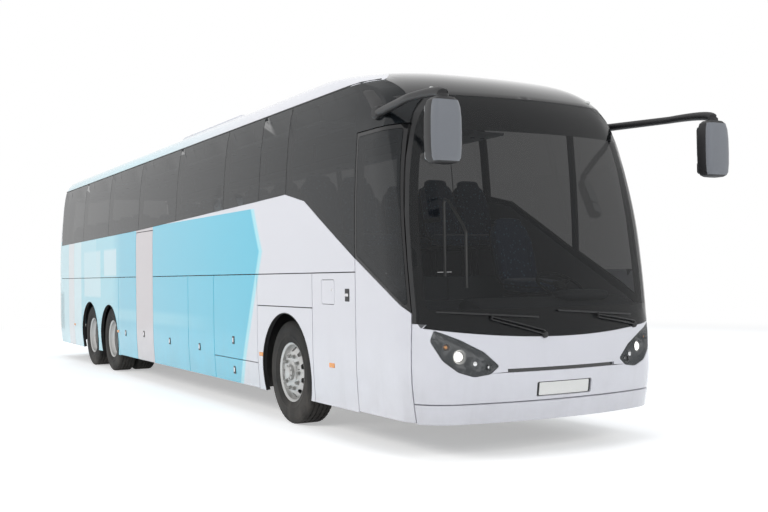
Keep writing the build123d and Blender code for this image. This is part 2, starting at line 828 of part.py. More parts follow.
def tyre_solid(distance, y):
    """One tyre: bead to bead round section with a flat tread."""
    half_tread = tyre_width / 2 - 22
    bulge = tyre_width / 2
    bead = rim_width / 2 - 16
    seat = bead_radius + bond_gap
    points = [
        (seat, -bead), (bead_radius + 90, -bulge), (tyre_radius - 90, -bulge), (tyre_radius - 18, -half_tread),
        (tyre_radius, -half_tread + 18),
    ]
    points += [(r, -w) for r, w in reversed(points)]
    inside = [(tyre_radius - 26, bulge - 40), (bead_radius + 60, bulge - 24), (seat, bead - 26)]
    points += inside + [(r, -w) for r, w in reversed(inside)]
    face = Face(Wire.make_polygon([Vector(r, w, 0) for r, w in points], close=True))
    ring = revolve(face, Axis.Y)
    return Pos(at(distance), y, tyre_radius) * ring


hand_hole_count = 10
hand_hole_radius = 25
hand_hole_circle = 234
weld_offset = 70
disc_thickness = 14


def rim_solid(distance, y, side, dish):
    """One rim: barrel, disc with its hand holes. Dish is how far the disc lies outboard of the middle."""
    edge = rim_width / 2
    well = bead_radius - 24
    skin = 12
    half = [
        (bead_radius + 14, edge), (bead_radius + 14, edge - 8), (bead_radius, edge - 14),
        (bead_radius - 6, 60), (well, 40),
    ]
    under = [(well - skin, 42), (bead_radius - 6 - skin + 2, 64), (bead_radius - skin, edge - 4)]
    barrel = [(r, -w) for r, w in half] + [(r, w) for r, w in reversed(half)]
    barrel += [(r, w) for r, w in reversed(under)] + [(r, -w) for r, w in under]
    face = Face(Wire.make_polygon([Vector(r, side * w, 0) for r, w in barrel], close=True))
    solid = revolve(face, Axis.Y)
    weld = math.copysign(weld_offset, dish)
    back, weld_half = dish - disc_thickness, disc_thickness / 2
    plate = [
        (bead_radius - 10, weld + weld_half), (210, dish), (90, dish), (90, back), (206, back),
        (bead_radius - 10, weld - weld_half),
    ]
    face = Face(Wire.make_polygon([Vector(r, side * w, 0) for r, w in plate], close=True))
    solid = solid + revolve(face, Axis.Y)
    holes = []
    for k in range(hand_hole_count):
        place = Pos(hand_hole_circle, side * (dish + weld) / 2, 0) * Rot(90, 0, 0)
        holes.append(Rot(0, k * 360 / hand_hole_count, 0) * place * Cylinder(hand_hole_radius, 120))
    return Pos(at(distance), y, tyre_radius) * (solid - holes)


hub_radius = 112
cap_radius = 78


def hub_solid(distance, low_y, high_y, side, cap):
    """Rotating hub between two widths, bored for the spindle, closed by a cap."""
    low, high = sorted((side * low_y, side * high_y))
    barrel = disc(distance, (low + high) / 2, tyre_radius, hub_radius, high - low)
    end = side * (high_y + cap / 2)
    barrel = barrel + disc(distance, end, tyre_radius, cap_radius, cap)
    bore_mid = side * (low_y + high_y - 20) / 2
    return barrel - disc(distance, bore_mid, tyre_radius, spindle_radius + run_gap, high_y - low_y)


# Wheel stations: name, distance from the nose, how far the disc lies outboard, length of the hub's cap, twin
stations = [
    ("front", front_axle_s, 118, 60, False),
    ("drive", drive_axle_s, -150, 95, True),
    ("tag", tag_axle_s, -110, 95, False),
]


def wheels():
    """Tyres and rims of the six wheel stations, twins on the drive axle."""
    for label, distance, dish, cap, twin in stations:
        for side, word in ((-1, "right"), (1, "left")):
            tyre = tyre_solid(distance, side * wheel_y)
            rim = rim_solid(distance, side * wheel_y, side, dish)
            mount = wheel_y + dish
            hub = hub_solid(distance, mount - 120, mount + 4, side, cap)
            rim = rim + hub
            if twin:
                inner_y = wheel_y - twin_spacing
                tyre = Compound(children=[*tyre.solids(), *tyre_solid(distance, side * inner_y).solids()])
                rim = rim + rim_solid(distance, side * inner_y, -side, inner_y + disc_thickness - mount)
            keep(f"tyre_{label}_{word}", tyre)
            keep(f"rim_{label}_{word}", rim)


boss_height = 190
fork_half = 35
fork_low = -130
fork_high = 95
case_radius = 215
tube_radius = 75
tag_tube_radius = 70
engine_length = 1400
engine_half = 420
engine_height = 500
engine_rear = body_length - 385
engine_head_gap = 30


def axles():
    """Front axle beam with two knuckles, drive axle with its gear case, tag axle."""
    z = tyre_radius
    front, rear = front_axle_s - fork_half, front_axle_s + fork_half
    inner_y = king_pin_y - 60
    beam = brick(front_axle_s - 60, front_axle_s + 60, -inner_y, inner_y, z - 150, z - 30)
    for side in (-1, 1):
        low, high = sorted((side * (inner_y - 2), side * (king_pin_y + 30)))
        for rise in (fork_low, fork_high):
            beam = beam + brick(front, rear, low, high, z + rise, z + rise + fork_half)
        low, high = sorted((side * (inner_y - 30), side * (inner_y + 2)))
        beam = beam + brick(front, rear, low, high, z + fork_low, z + fork_high + fork_half)
        boss = Pos(at(front_axle_s), side * king_pin_y, z) * Cylinder(40, boss_height - 2 * run_gap)
        mount = wheel_y + stations[0][2]
        low, high = sorted((side * (king_pin_y + 5), side * (mount - disc_thickness)))
        spindle = disc(front_axle_s, (low + high) / 2, z, spindle_radius, high - low)
        word = "left" if side > 0 else "right"
        keep(f"knuckle_{word}", boss + spindle)
    keep("front_axle", beam)
    tube = disc(drive_axle_s, 0, z, tube_radius, 2 * 560)
    case = Pos(at(drive_axle_s), 0, z) * Sphere(case_radius)
    ends = []
    for label, distance, dish, cap, twin in stations[1:]:
        reach = wheel_y + dish - disc_thickness
        ends.append(disc(distance, 0, z, spindle_radius, 2 * reach))
    keep("drive_axle", tube + case + ends[0])
    keep("tag_axle", disc(tag_axle_s, 0, z, tag_tube_radius, 2 * 760) + ends[1])


def engine():
    """The engine as one plain block at its real place."""
    top = deck_height - floor_sheet - engine_head_gap
    bottom = top - engine_height
    keep("engine_block", brick(engine_rear - engine_length, engine_rear, -engine_half, engine_half, bottom, top))


# Mirror head: width, depth along the coach, height of the shell
mirror_width = 270
mirror_depth = 170
mirror_height = 500
mirror_top = 2800
mirror_y = 1390
mirror_tube = 30
mirror_root = 980
mirror_arm_level = 2885


def mirrors():
    """Two mirrors hanging from arms at the upper front corners."""
    pieces = []
    grown = envelope(-bond_gap)
    for side in (-1, 1):
        x_mid = at(-mirror_reach + mirror_depth / 2)
        head = Pos(x_mid, side * mirror_y, mirror_top - mirror_height / 2)
        head = head * Box(mirror_depth, mirror_width, mirror_height)
        head = head.fillet(55, head.edges().filter_by(Axis.Z))
        root = Vector(at(mirror_root), side * (half_width - 145), mirror_arm_level)
        elbow = Vector(at(mirror_root - 30), side * (half_width + 60), mirror_arm_level)
        bend = Vector(at(60), side * (mirror_y + 10), mirror_arm_level - 25)
        tip = Vector(x_mid, side * mirror_y, mirror_top + 30)
        foot = Vector(x_mid, side * mirror_y, mirror_top - 30)
        path = FilletPolyline(root, elbow, bend, tip, foot, radius=[55, 120, 30])
        tube = sweep(Plane(origin=path @ 0, z_dir=path % 0) * Circle(mirror_tube), path)
        pieces.append(head + tube - grown)
    keep("mirrors", Compound(children=[s for p in pieces for s in p.solids()]))


lamps = front_end()
lamps += rear_end()
keep("lamp_units", Compound(children=lamps))
side_walls()
side_glazing()
doors_and_flaps()
door_arms()
roof()
floors()
platform()
entry_stairs()
middle_stairs()
underframe()
housings()
seats()
cab()
racks()
wheels()
axles()
engine()
mirrors()
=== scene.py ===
import functools
import math

import bpy
import numpy as np
from bpy.props import FloatProperty, FloatVectorProperty, PointerProperty
from mathutils import Matrix, Vector
from mathutils.geometry import delaunay_2d_cdt


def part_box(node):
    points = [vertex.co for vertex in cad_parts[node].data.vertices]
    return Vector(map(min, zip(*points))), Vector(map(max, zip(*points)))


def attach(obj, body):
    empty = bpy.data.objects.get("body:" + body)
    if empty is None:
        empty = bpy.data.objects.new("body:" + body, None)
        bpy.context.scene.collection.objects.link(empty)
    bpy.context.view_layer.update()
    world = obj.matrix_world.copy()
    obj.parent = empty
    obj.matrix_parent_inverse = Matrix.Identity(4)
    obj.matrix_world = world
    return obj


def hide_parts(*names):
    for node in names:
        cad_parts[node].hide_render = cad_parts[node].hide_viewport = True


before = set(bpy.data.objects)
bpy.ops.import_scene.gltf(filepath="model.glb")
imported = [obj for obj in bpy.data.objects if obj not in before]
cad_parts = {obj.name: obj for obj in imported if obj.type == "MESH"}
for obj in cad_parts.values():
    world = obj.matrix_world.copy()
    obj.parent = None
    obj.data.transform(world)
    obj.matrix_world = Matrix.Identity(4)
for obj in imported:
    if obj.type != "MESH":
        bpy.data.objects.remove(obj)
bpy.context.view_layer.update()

bl_info = {
    "name": "Long distance coach",
    "version": (1, 0, 0),
    "blender": (4, 5, 0),
    "location": "View3D > Sidebar > Coach",
    "description": "Builds the finished pieces of a three axle coach over its CAD frame",
    "category": "Add Mesh",
}

# Places that come from the frame, in metres
NOSE_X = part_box("front_bumper")[1].x
REAR_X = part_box("rear_panel")[0].x
HALF_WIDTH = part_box("side_wall_left")[1].y
ROOF_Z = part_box("roof_conditioner")[0].z
NOSE, TAIL = 0, 1
NOSE_BOW = 3.8
TAIL_BOW = 16.0

# Level sections: height, narrowing each side, nose set back, nose corner, tail set in, tail corner
SECTIONS = (
    (0.290, 0.025, 0.060, 0.410, 0.040, 0.260),
    (0.620, 0.004, 0.000, 0.420, 0.000, 0.270),
    (1.100, 0.000, 0.025, 0.420, 0.005, 0.270),
    (1.600, 0.000, 0.078, 0.420, 0.015, 0.265),
    (2.000, 0.002, 0.145, 0.420, 0.030, 0.260),
    (2.450, 0.020, 0.258, 0.440, 0.052, 0.260),
    (2.850, 0.050, 0.392, 0.500, 0.084, 0.260),
    (3.010, 0.068, 0.490, 0.560, 0.105, 0.270),
    (3.110, 0.084, 0.595, 0.620, 0.120, 0.275),
    (3.200, 0.104, 0.750, 0.680, 0.140, 0.280),
    (3.270, 0.128, 0.940, 0.720, 0.165, 0.300),
    (3.335, 0.165, 1.205, 0.750, 0.205, 0.330),
    (3.385, 0.225, 1.500, 0.780, 0.270, 0.370),
    (3.425, 0.310, 1.860, 0.800, 0.350, 0.420),
    (3.450, 0.430, 2.270, 0.800, 0.470, 0.480),
)

# Seams, as distances back from the nose and heights
SKIRT = 0.290
DOOR_FRONT = 0.400
DOOR_REAR = 1.300
DOOR_TOP = 2.750
DOOR_TOP_FRONT = 0.600
DOOR_SILL = 0.300
DOOR_BELT = 1.170
FLAP_TOP = 1.520
REAR_SEAM = 13.740
ROOF_SEAM = 3.215
DOME_SEAM = 3.010
DOME_REACH = 1.050
DOME_TOP = 3.405
SCREEN_BASE = 0.975
SCREEN_CORNER = 1.090
BUMPER_TOP = 0.695
GAP = 0.009
BELT = ((1.300, 1.640), (2.380, 2.230), (2.850, 2.330), (3.700, 2.310), (8.260, 2.220), (REAR_SEAM, 2.170))
PANE_SEAMS = (2.830, 3.560, 4.660, 6.470, 8.280, 10.090, 11.900)
MIDDLE_FRONT = 7.525
MIDDLE_REAR = 8.395
MIDDLE_TOP = 2.180
ARCHES = ((2.860, 0.605), (10.050, 0.560), (11.400, 0.585))
AXLE_Z = 0.522

# Depths of the sheets, measured inwards from the skin
BODY_DEPTH = 0.046
ROOF_DEPTH = 0.045
NOSE_DEPTH = 0.040
WALL_SHEET = 0.013
WALL_BACKING = -0.0135

# Seats and roof hatches: first front edge, pitch and rows; middles, half size
SEAT_FRONT, SEAT_PITCH, SEAT_ROWS = 2.150, 0.820, 14
HATCHES, HATCH_HALF = (3.30, 11.30), 0.38

# Strength of the room's light, and how far from the coach the floor fades to plain white
ROOM_LIGHT = 0.42
FADE = (9.0, 20.0)

# Place of the camera of the photograph, measured from the nose, and its angles in degrees
VIEW_AHEAD, VIEW_SIDE, VIEW_HEIGHT = 6.530, -5.362, 1.487
VIEW_YAW, VIEW_PITCH, VIEW_ROLL = 150.78, 1.14, -0.82


def slopes(column):
    """Slope of one column of the sections at each height, for a smooth curve through them."""
    z = [row[0] for row in SECTIONS]
    v = [row[column] for row in SECTIONS]
    runs = [(v[i + 1] - v[i]) / (z[i + 1] - z[i]) for i in range(len(z) - 1)]
    inner = [(runs[i] + runs[i + 1]) / 2 for i in range(len(runs) - 1)]
    return [runs[0]] + inner + [runs[-1]]


SLOPES = [slopes(column) for column in range(1, 6)]


def section(z):
    """The five section values at a height, on a smooth curve through the table."""
    i = 0
    while i < len(SECTIONS) - 2 and z > SECTIONS[i + 1][0]:
        i += 1
    low, high = SECTIONS[i], SECTIONS[i + 1]
    span = high[0] - low[0]
    t = (z - low[0]) / span
    values = []
    for column in range(5):
        a, b = low[column + 1], high[column + 1]
        if t < 0:
            values.append(a + SLOPES[column][0] * (z - low[0]))
            continue
        ma, mb = SLOPES[column][i] * span, SLOPES[column][i + 1] * span
        values.append(
            (2 * t**3 - 3 * t**2 + 1) * a + (t**3 - 2 * t**2 + t) * ma
            + (3 * t**2 - 2 * t**3) * b + (t**3 - t**2) * mb
        )
    return values


@functools.lru_cache(maxsize=20000)
def plan(z):
    """Half width at a height, and the arcs of the nose and the tail there."""
    narrow, nose, nose_corner, tail, tail_corner = section(z)
    width = HALF_WIDTH - narrow
    ends = []
    for tip, bow, corner, way in ((NOSE_X - nose, NOSE_BOW, nose_corner, 1),
                                  (REAR_X + tail, TAIL_BOW, tail_corner, -1)):
        centre = tip - way * bow
        turn = math.asin((width - corner) / (bow - corner))
        corner_x = centre + way * (bow - corner) * math.cos(turn)
        ends.append((centre, bow, corner, corner_x, turn, bow * turn, corner * (math.pi / 2 - turn)))
    return width, ends[0], ends[1]


def skin(u, z, end=NOSE):
    """The body surface at a run u round from the middle of the nose or the tail, left positive."""
    width = plan(round(z, 5))[0]
    centre, bow, corner, corner_x, turn, run, bend = plan(round(z, 5))[1 + end]
    way = 1 if end == NOSE else -1
    side = 1 if u >= 0 else -1
    u = abs(u)
    if u <= run:
        x, y = centre + way * bow * math.cos(u / bow), bow * math.sin(u / bow)
    elif u <= run + bend:
        angle = turn + (u - run) / corner
        x, y = corner_x + way * corner * math.cos(angle), width - corner + corner * math.sin(angle)
    else:
        x, y = corner_x - way * (u - run - bend), width
    return Vector((x, side * y, z))


tail_skin = functools.partial(skin, end=TAIL)


def from_side(s, z, side, end=NOSE):
    """The run u of a point that lies a distance s back from the nose."""
    centre, bow, corner, corner_x, turn, run, bend = plan(round(z, 5))[1 + end]
    way = 1 if end == NOSE else -1
    x = NOSE_X - s
    along = way * (corner_x - x)
    if along >= 0:
        return side * (run + bend + along)
    if -along / corner <= math.cos(turn):
        return side * (run + corner * (math.acos(-along / corner) - turn))
    return side * bow * math.acos(min(1, way * (x - centre) / bow))


def from_front(y, z, end=NOSE):
    """The run u of a point that lies at a width y on the nose or the tail."""
    width = plan(round(z, 5))[0]
    centre, bow, corner, corner_x, turn, run, bend = plan(round(z, 5))[1 + end]
    side = 1 if y >= 0 else -1
    y = abs(y)
    if y <= bow * math.sin(turn):
        return side * bow * math.asin(y / bow)
    angle = math.asin(min(1, (y - width + corner) / corner))
    return side * (run + corner * (angle - turn))


def spot(s, z, side, lift=0.0):
    """A point on the side of the body, lifted off it by a little."""
    u = from_side(s, z, side)
    return skin(u, z) + surface_normal(skin, u, z) * lift


def spot_front(y, z, lift=0.0, end=NOSE):
    """A point on the nose or tail of the body, lifted off it by a little."""
    u = from_front(y, z, end)
    way = 1 if end == NOSE else -1
    return skin(u, z, end) + surface_normal(functools.partial(skin, end=end), u, z) * lift * way


def surface_normal(surface, a, b, reach=0.003):
    """The direction square to a surface given by two values."""
    along = surface(a + reach, b) - surface(a - reach, b)
    up = surface(a, b + reach) - surface(a, b - reach)
    return along.cross(up).normalized()


def line_at(line, s):
    """Height of a line of (distance, height) at a distance."""
    for (s0, z0), (s1, z1) in zip(line, line[1:]):
        if s0 <= s <= s1:
            return z0 + (z1 - z0) * (s - s0) / (s1 - s0)
    return line[0][1] if s < line[0][0] else line[-1][1]


def lean(z):
    """Where the front edge of the door and side glass stands at a height."""
    if z <= DOOR_BELT:
        return DOOR_FRONT
    return DOOR_FRONT + (DOOR_TOP_FRONT - DOOR_FRONT) * (z - DOOR_BELT) / (DOOR_TOP - DOOR_BELT)


def front_edge(z):
    """Distance from the nose where the side glass starts at a height."""
    if z <= DOME_SEAM:
        return lean(z)
    reach = max(abs(from_side(lean(z), z, 1)), from_front(DOME_REACH, z)) if z < ROOF_SEAM + 0.001 else 0
    return NOSE_X - skin(reach, z).x


def soften(points, radius, turns=4):
    """An outline with its corners rounded. A radius may be one number or one for each corner."""
    out = []
    count = len(points)
    for i, here in enumerate(points):
        size = radius[i] if isinstance(radius, (list, tuple)) else radius
        p, a, b = Vector(here), Vector(points[i - 1]), Vector(points[(i + 1) % count])
        to_a, to_b = (a - p), (b - p)
        if size <= 0 or to_a.length < 1e-6 or to_b.length < 1e-6:
            out.append(tuple(p))
            continue
        angle = to_a.angle(to_b)
        if angle > math.radians(176):
            out.append(tuple(p))
            continue
        cut = min(size / math.tan(angle / 2), to_a.length * 0.48, to_b.length * 0.48)
        start, stop = p + to_a.normalized() * cut, p + to_b.normalized() * cut
        for k in range(turns + 1):
            t = k / turns
            out.append(tuple(start * (1 - t) ** 2 + p * 2 * t * (1 - t) + stop * t**2))
    return out


def divide(points, step):
    """A closed outline with no run longer than a step."""
    out = []
    for (a0, b0), (a1, b1) in zip(points, list(points[1:]) + [points[0]]):
        count = max(1, math.ceil(math.hypot(a1 - a0, b1 - b0) / step))
        out += [(a0 + (a1 - a0) * k / count, b0 + (b1 - b0) * k / count) for k in range(count)]
    return out


def rect(a0, b0, a1, b1):
    """A four-cornered outline between two opposite corners."""
    return [(a0, b0), (a1, b0), (a1, b1), (a0, b1)]


def bulge(value, exponent):
    """A value from -1 to 1 drawn towards its ends, for rounded square forms."""
    return math.copysign(abs(value) ** exponent, value)


def share(k, count):
    """The angle of step k of a full turn in equal steps."""
    return 2 * math.pi * k / count


def circle(a, b, radius, count=32):
    """A round outline."""
    return [(a + radius * math.cos(share(k, count)), b + radius * math.sin(share(k, count)))
            for k in range(count)]


def inside(points, ring):
    """Which of many points lie within a closed outline."""
    a, b = points[:, 0], points[:, 1]
    hit = np.zeros(len(points), bool)
    ring = np.asarray(ring)
    for (a0, b0), (a1, b1) in zip(ring, np.roll(ring, -1, axis=0)):
        if b0 == b1:
            continue
        cross = (b0 > b) != (b1 > b)
        hit ^= cross & (a < (a1 - a0) * (b - b0) / (b1 - b0) + a0)
    return hit


def area(ring):
    """Signed area of a closed outline."""
    return sum(a0 * b1 - a1 * b0 for (a0, b0), (a1, b1) in zip(ring, list(ring[1:]) + [ring[0]])) / 2


def drawn_in(ring, distance):
    """A closed outline moved to its left by a distance."""
    count = len(ring)
    out = []
    for i in range(count):
        before, here, after = Vector(ring[i - 1]), Vector(ring[i]), Vector(ring[(i + 1) % count])
        one, two = (here - before), (after - here)
        n1 = Vector((-one.y, one.x)).normalized()
        n2 = Vector((-two.y, two.x)).normalized()
        both = n1 + n2
        scale = 2 / max(both.length_squared, 0.5)
        out.append(tuple(here + both * distance * scale / 2))
    return out


class Shape:
    """Vertices and faces of one piece, gathered before its mesh is made."""

    def __init__(self):
        self.verts, self.faces, self.paints = [], [], []

    def add(self, verts, faces, paint=0):
        start = len(self.verts)
        self.verts += [Vector(v) for v in verts]
        self.faces += [tuple(start + i for i in face) for face in faces]
        self.paints += [paint] * len(faces)
        return self

    def copy_across(self, shape, matrix):
        """Adds another shape, moved; a mirror turns its faces round."""
        start = len(self.verts)
        flip = matrix.determinant() < 0
        self.verts += [matrix @ v for v in shape.verts]
        for face, paint in zip(shape.faces, shape.paints):
            face = tuple(start + i for i in (reversed(face) if flip else face))
            self.faces.append(face)
            self.paints.append(paint)
        return self

    def make(self, name, finishes, body="coach_body", nodes=(), slot=None, sharp=32):
        """Makes the mesh object, gives it to its body and hides the CAD nodes it stands for."""
        mesh = bpy.data.meshes.new(name)
        mesh.from_pydata([tuple(v) for v in self.verts], [], self.faces)
        for finish in finishes.split():
            mesh.materials.append(PAINTS[finish])
        mesh.polygons.foreach_set("material_index", self.paints)
        mesh.validate()
        mesh.shade_smooth()
        mesh.set_sharp_from_angle(angle=math.radians(sharp))
        piece = bpy.data.objects.new(name, mesh)
        bpy.context.scene.collection.objects.link(piece)
        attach(piece, body)
        if nodes:
            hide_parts(*nodes)
        return piece


def panel(shape, rings, surface, depth=0.03, lip=0.004, grid=(0.2, 0.08), flip=False, proud=0.0,
          paint=0, back_paint=None, backed=True):
    """A sheet with thickness and softened edges over a surface, from an outline and its holes."""
    step = max(grid) if min(grid) > 0 else 0.1
    loops = []
    for i, ring in enumerate(rings):
        ring = divide(ring, min(step, 0.12))
        if (area(ring) > 0) != (i == 0):
            ring = ring[::-1]
        loops.append(ring)
    inner = [drawn_in(ring, lip) for ring in loops]
    flat = [p for ring in inner for p in ring]
    edges = []
    start = 0
    for ring in inner:
        edges += [(start + k, start + (k + 1) % len(ring)) for k in range(len(ring))]
        start += len(ring)
    border = np.array(flat)
    low, high = border.min(0), border.max(0)
    na = max(1, int((high[0] - low[0]) / grid[0]))
    nb = max(1, int((high[1] - low[1]) / grid[1]))
    ga, gb = np.meshgrid(np.linspace(low[0], high[0], na + 1), np.linspace(low[1], high[1], nb + 1))
    seeds = np.stack([ga.ravel(), gb.ravel()], 1)
    seeds = seeds[inside(seeds, inner[0])]
    for ring in inner[1:]:
        seeds = seeds[~inside(seeds, ring)]
    if len(seeds):
        scale = np.array([1 / grid[0], 1 / grid[1]])
        gap = np.sqrt((((seeds[:, None] - border[None]) * scale) ** 2).sum(2)).min(1)
        seeds = seeds[gap > 0.35]
    points = [Vector(p) for p in flat] + [Vector(p) for p in seeds]
    made, _, tris, origins, _, _ = delaunay_2d_cdt(points, edges, [], 0, 1e-7)
    centres = np.array([sum((made[i] for i in tri), Vector((0, 0))) / len(tri) for tri in tris])
    keep = inside(centres, inner[0])
    for ring in inner[1:]:
        keep &= ~inside(centres, ring)
    tris = [tuple(tri) for tri, good in zip(tris, keep) if good]
    place = {}
    for new, old in enumerate(origins):
        for i in old:
            place[i] = new
    way = -1 if flip else 1

    def lifted(a, b, sink):
        return surface(a, b) + surface_normal(surface, a, b) * way * (proud - sink)

    top = [lifted(p.x, p.y, 0) for p in made]
    turned = [tri[::way] for tri in tris]
    start = len(shape.verts)
    shape.add(top, turned, paint)
    rows = [(0.3 * lip, 0.3 * lip), (0.0, lip), (0.0, depth)]
    bottom = {}
    offset = 0
    for ring in loops:
        count = len(ring)
        before = [start + place[offset + k] for k in range(count)]
        for draw, sink in rows:
            line = ring if draw == 0 else drawn_in(ring, draw)
            base = len(shape.verts)
            shape.verts += [lifted(a, b, sink) for a, b in line]
            here = [base + k for k in range(count)]
            for k in range(count):
                n = (k + 1) % count
                shape.faces.append((before[n], before[k], here[k], here[n])[::way])
                shape.paints.append(paint)
            before = here
        for k in range(count):
            bottom[place[offset + k]] = before[k]
        offset += count
    if backed:
        base = len(shape.verts)
        used = sorted({i for tri in tris for i in tri} - set(bottom))
        shape.verts += [lifted(made[i].x, made[i].y, depth) for i in used]
        lower = {i: base + k for k, i in enumerate(used)}
        lower.update(bottom)
        under = [tuple(lower[i] for i in tri[::-1])[::way] for tri in tris if all(i in lower for i in tri)]
        shape.faces += under
        shape.paints += [paint if back_paint is None else back_paint] * len(under)
    return shape


def side_panel(shape, rings, side, **options):
    """A panel on the side of the body from outlines of (distance from the nose, height)."""
    turned = []
    for ring in rings:
        turned.append([(from_side(s, z, side), z) for s, z in divide(ring, 0.12)])
    return panel(shape, turned, skin, **options)


def end_panel(shape, rings, end, **options):
    """A panel on the nose or tail from outlines of (width, height)."""
    turned = []
    for ring in rings:
        turned.append([(from_front(y, z, end), z) for y, z in divide(ring, 0.08)])
    options.setdefault("flip", end == TAIL)
    return panel(shape, turned, functools.partial(skin, end=end), **options)


def band_faces(rows, size):
    """Faces between closed rings of points that follow each other."""
    return [(i * size + k, i * size + (k + 1) % size, (i + 1) * size + (k + 1) % size, (i + 1) * size + k)
            for i in range(rows) for k in range(size)]


def sweep(shape, path, section_at, closed=False, caps=True, paint=0):
    """A skin over rings that section_at gives at each index of a path."""
    rings = [section_at(i) for i in range(len(path))]
    size = len(rings[0])
    faces = []
    pairs = list(zip(range(len(rings)), range(1, len(rings))))
    if closed:
        pairs.append((len(rings) - 1, 0))
    for i, j in pairs:
        for k in range(size):
            n = (k + 1) % size
            faces.append((i * size + k, i * size + n, j * size + n, j * size + k))
    if caps and not closed:
        faces.append(tuple(reversed(range(size))))
        faces.append(tuple((len(rings) - 1) * size + k for k in range(size)))
    return shape.add([v for ring in rings for v in ring], faces, paint)


def pipe(shape, path, radius, sides=12, closed=False, paint=0, up=(0, 0, 1)):
    """A round or oval bar along a path. The radius may be one number, a pair, or one for each point."""
    path = [Vector(p) for p in path]
    count = len(path)

    def ring(i):
        if closed:
            ahead = path[(i + 1) % count] - path[i - 1]
        else:
            ahead = path[min(i + 1, count - 1)] - path[max(i - 1, 0)]
        ahead.normalize()
        side = ahead.cross(Vector(up))
        if side.length < 0.1:
            side = ahead.cross(Vector((0, 1, 0)))
        side.normalize()
        top = side.cross(ahead)
        size = radius[i] if isinstance(radius, list) else radius
        wide, tall = size if isinstance(size, tuple) else (size, size)
        return [path[i] + side * wide * math.cos(share(k, sides)) + top * tall * math.sin(share(k, sides))
                for k in range(sides)]

    return sweep(shape, path, ring, closed=closed, paint=paint)


AXIS = 0.0001


def capped(first, last, *rim):
    """A turned profile that closes on its axis, from its height there at both ends and the points between."""
    return [(AXIS, first), *rim, (AXIS, last)]


def lathe(shape, profile, centre, axis=(0, 1, 0), turns=64, paint=0, closed=True):
    """A turned form: profile of (radius, place along the axis). Closed joins its last point to its first."""
    axis = Vector(axis).normalized()
    side = axis.orthogonal().normalized()
    other = axis.cross(side)
    centre = Vector(centre)
    verts, faces = [], []
    size = len(profile)
    for k in range(turns):
        angle = share(k, turns)
        out = side * math.cos(angle) + other * math.sin(angle)
        verts += [centre + out * r + axis * w for r, w in profile]
    spans = size if closed else size - 1
    for k in range(turns):
        n = (k + 1) % turns
        for i in range(spans):
            j = (i + 1) % size
            faces.append((k * size + i, k * size + j, n * size + j, n * size + i))
    return shape.add(verts, faces, paint)


def block(shape, low, high, round_by=0.006, paint=0, matrix=None):
    """A block with its edges softened all round."""
    low, high = Vector(low), Vector(high)
    r = min(round_by, *(abs(h - l) * 0.45 for l, h in zip(low, high)))
    centre, half = (low + high) / 2, (high - low) / 2
    verts = []
    levels = ((-1, r), (-1, 0), (1, 0), (1, r))
    for way, draw in levels:
        z = centre.z + way * (half.z - (0 if draw else r))
        inset = r if draw else 0
        x, y = half.x - inset, half.y - inset
        cut = r if not draw else 0.0001
        for sx, sy in ((1, 1), (-1, 1), (-1, -1), (1, -1)):
            first = (centre.x + sx * x, centre.y + sy * (y - cut), z)
            second = (centre.x + sx * (x - cut), centre.y + sy * y, z)
            verts += [first, second] if sx * sy > 0 else [second, first]
    faces = band_faces(3, 8)
    faces.append(tuple(reversed(range(8))))
    faces.append(tuple(range(24, 32)))
    if matrix is not None:
        verts = [matrix @ Vector(v) for v in verts]
    return shape.add(verts, faces, paint)


class CoachColours(bpy.types.PropertyGroup):
    """Paint and trim colours of the coach."""

    pearl: FloatVectorProperty(name="Pearl paint", description="Body paint ahead of the chevron",
                               subtype="COLOR",
                               default=(0.66, 0.66, 0.71), min=0, max=1)
    cyan: FloatVectorProperty(name="Cyan paint", description="Main colour behind the chevron", subtype="COLOR",
                              default=(0.004, 0.47, 0.66), min=0, max=1)
    pale_cyan: FloatVectorProperty(name="Pale cyan", description="Edging, cant rail and light blocks",
                                   subtype="COLOR",
                                   default=(0.30, 0.72, 0.82), min=0, max=1)
    rose_grey: FloatVectorProperty(name="Rose grey", description="Upright band over the middle door",
                                   subtype="COLOR",
                                   default=(0.52, 0.47, 0.49), min=0, max=1)
    teal: FloatVectorProperty(name="Teal", description="Patch at the rear corner", subtype="COLOR",
                              default=(0.05, 0.30, 0.38), min=0, max=1)
    rim: FloatVectorProperty(name="Wheel silver", description="Paint of the wheel rims", subtype="COLOR",
                             default=(0.55, 0.55, 0.54), min=0, max=1)


class CoachTrim(bpy.types.PropertyGroup):
    """Sizes of the trim that the frame doesn't set."""

    edge: FloatProperty(name="Panel edge", description="Width of the soft edge of a body panel", default=0.004,
                        min=0.001, max=0.02, unit="LENGTH")
    glass_depth: FloatProperty(name="Glass depth", description="Thickness of a bonded pane", default=0.010,
                               min=0.003, max=0.012, unit="LENGTH")
    tread_depth: FloatProperty(name="Tread depth", description="Depth of the grooves in a tyre", default=0.012,
                               min=0.002, max=0.02, unit="LENGTH")
    camera_lens: FloatProperty(name="Camera lens",
                               description="Focal length of the view of the photograph in millimetres",
                               default=47.0, min=10, max=200)


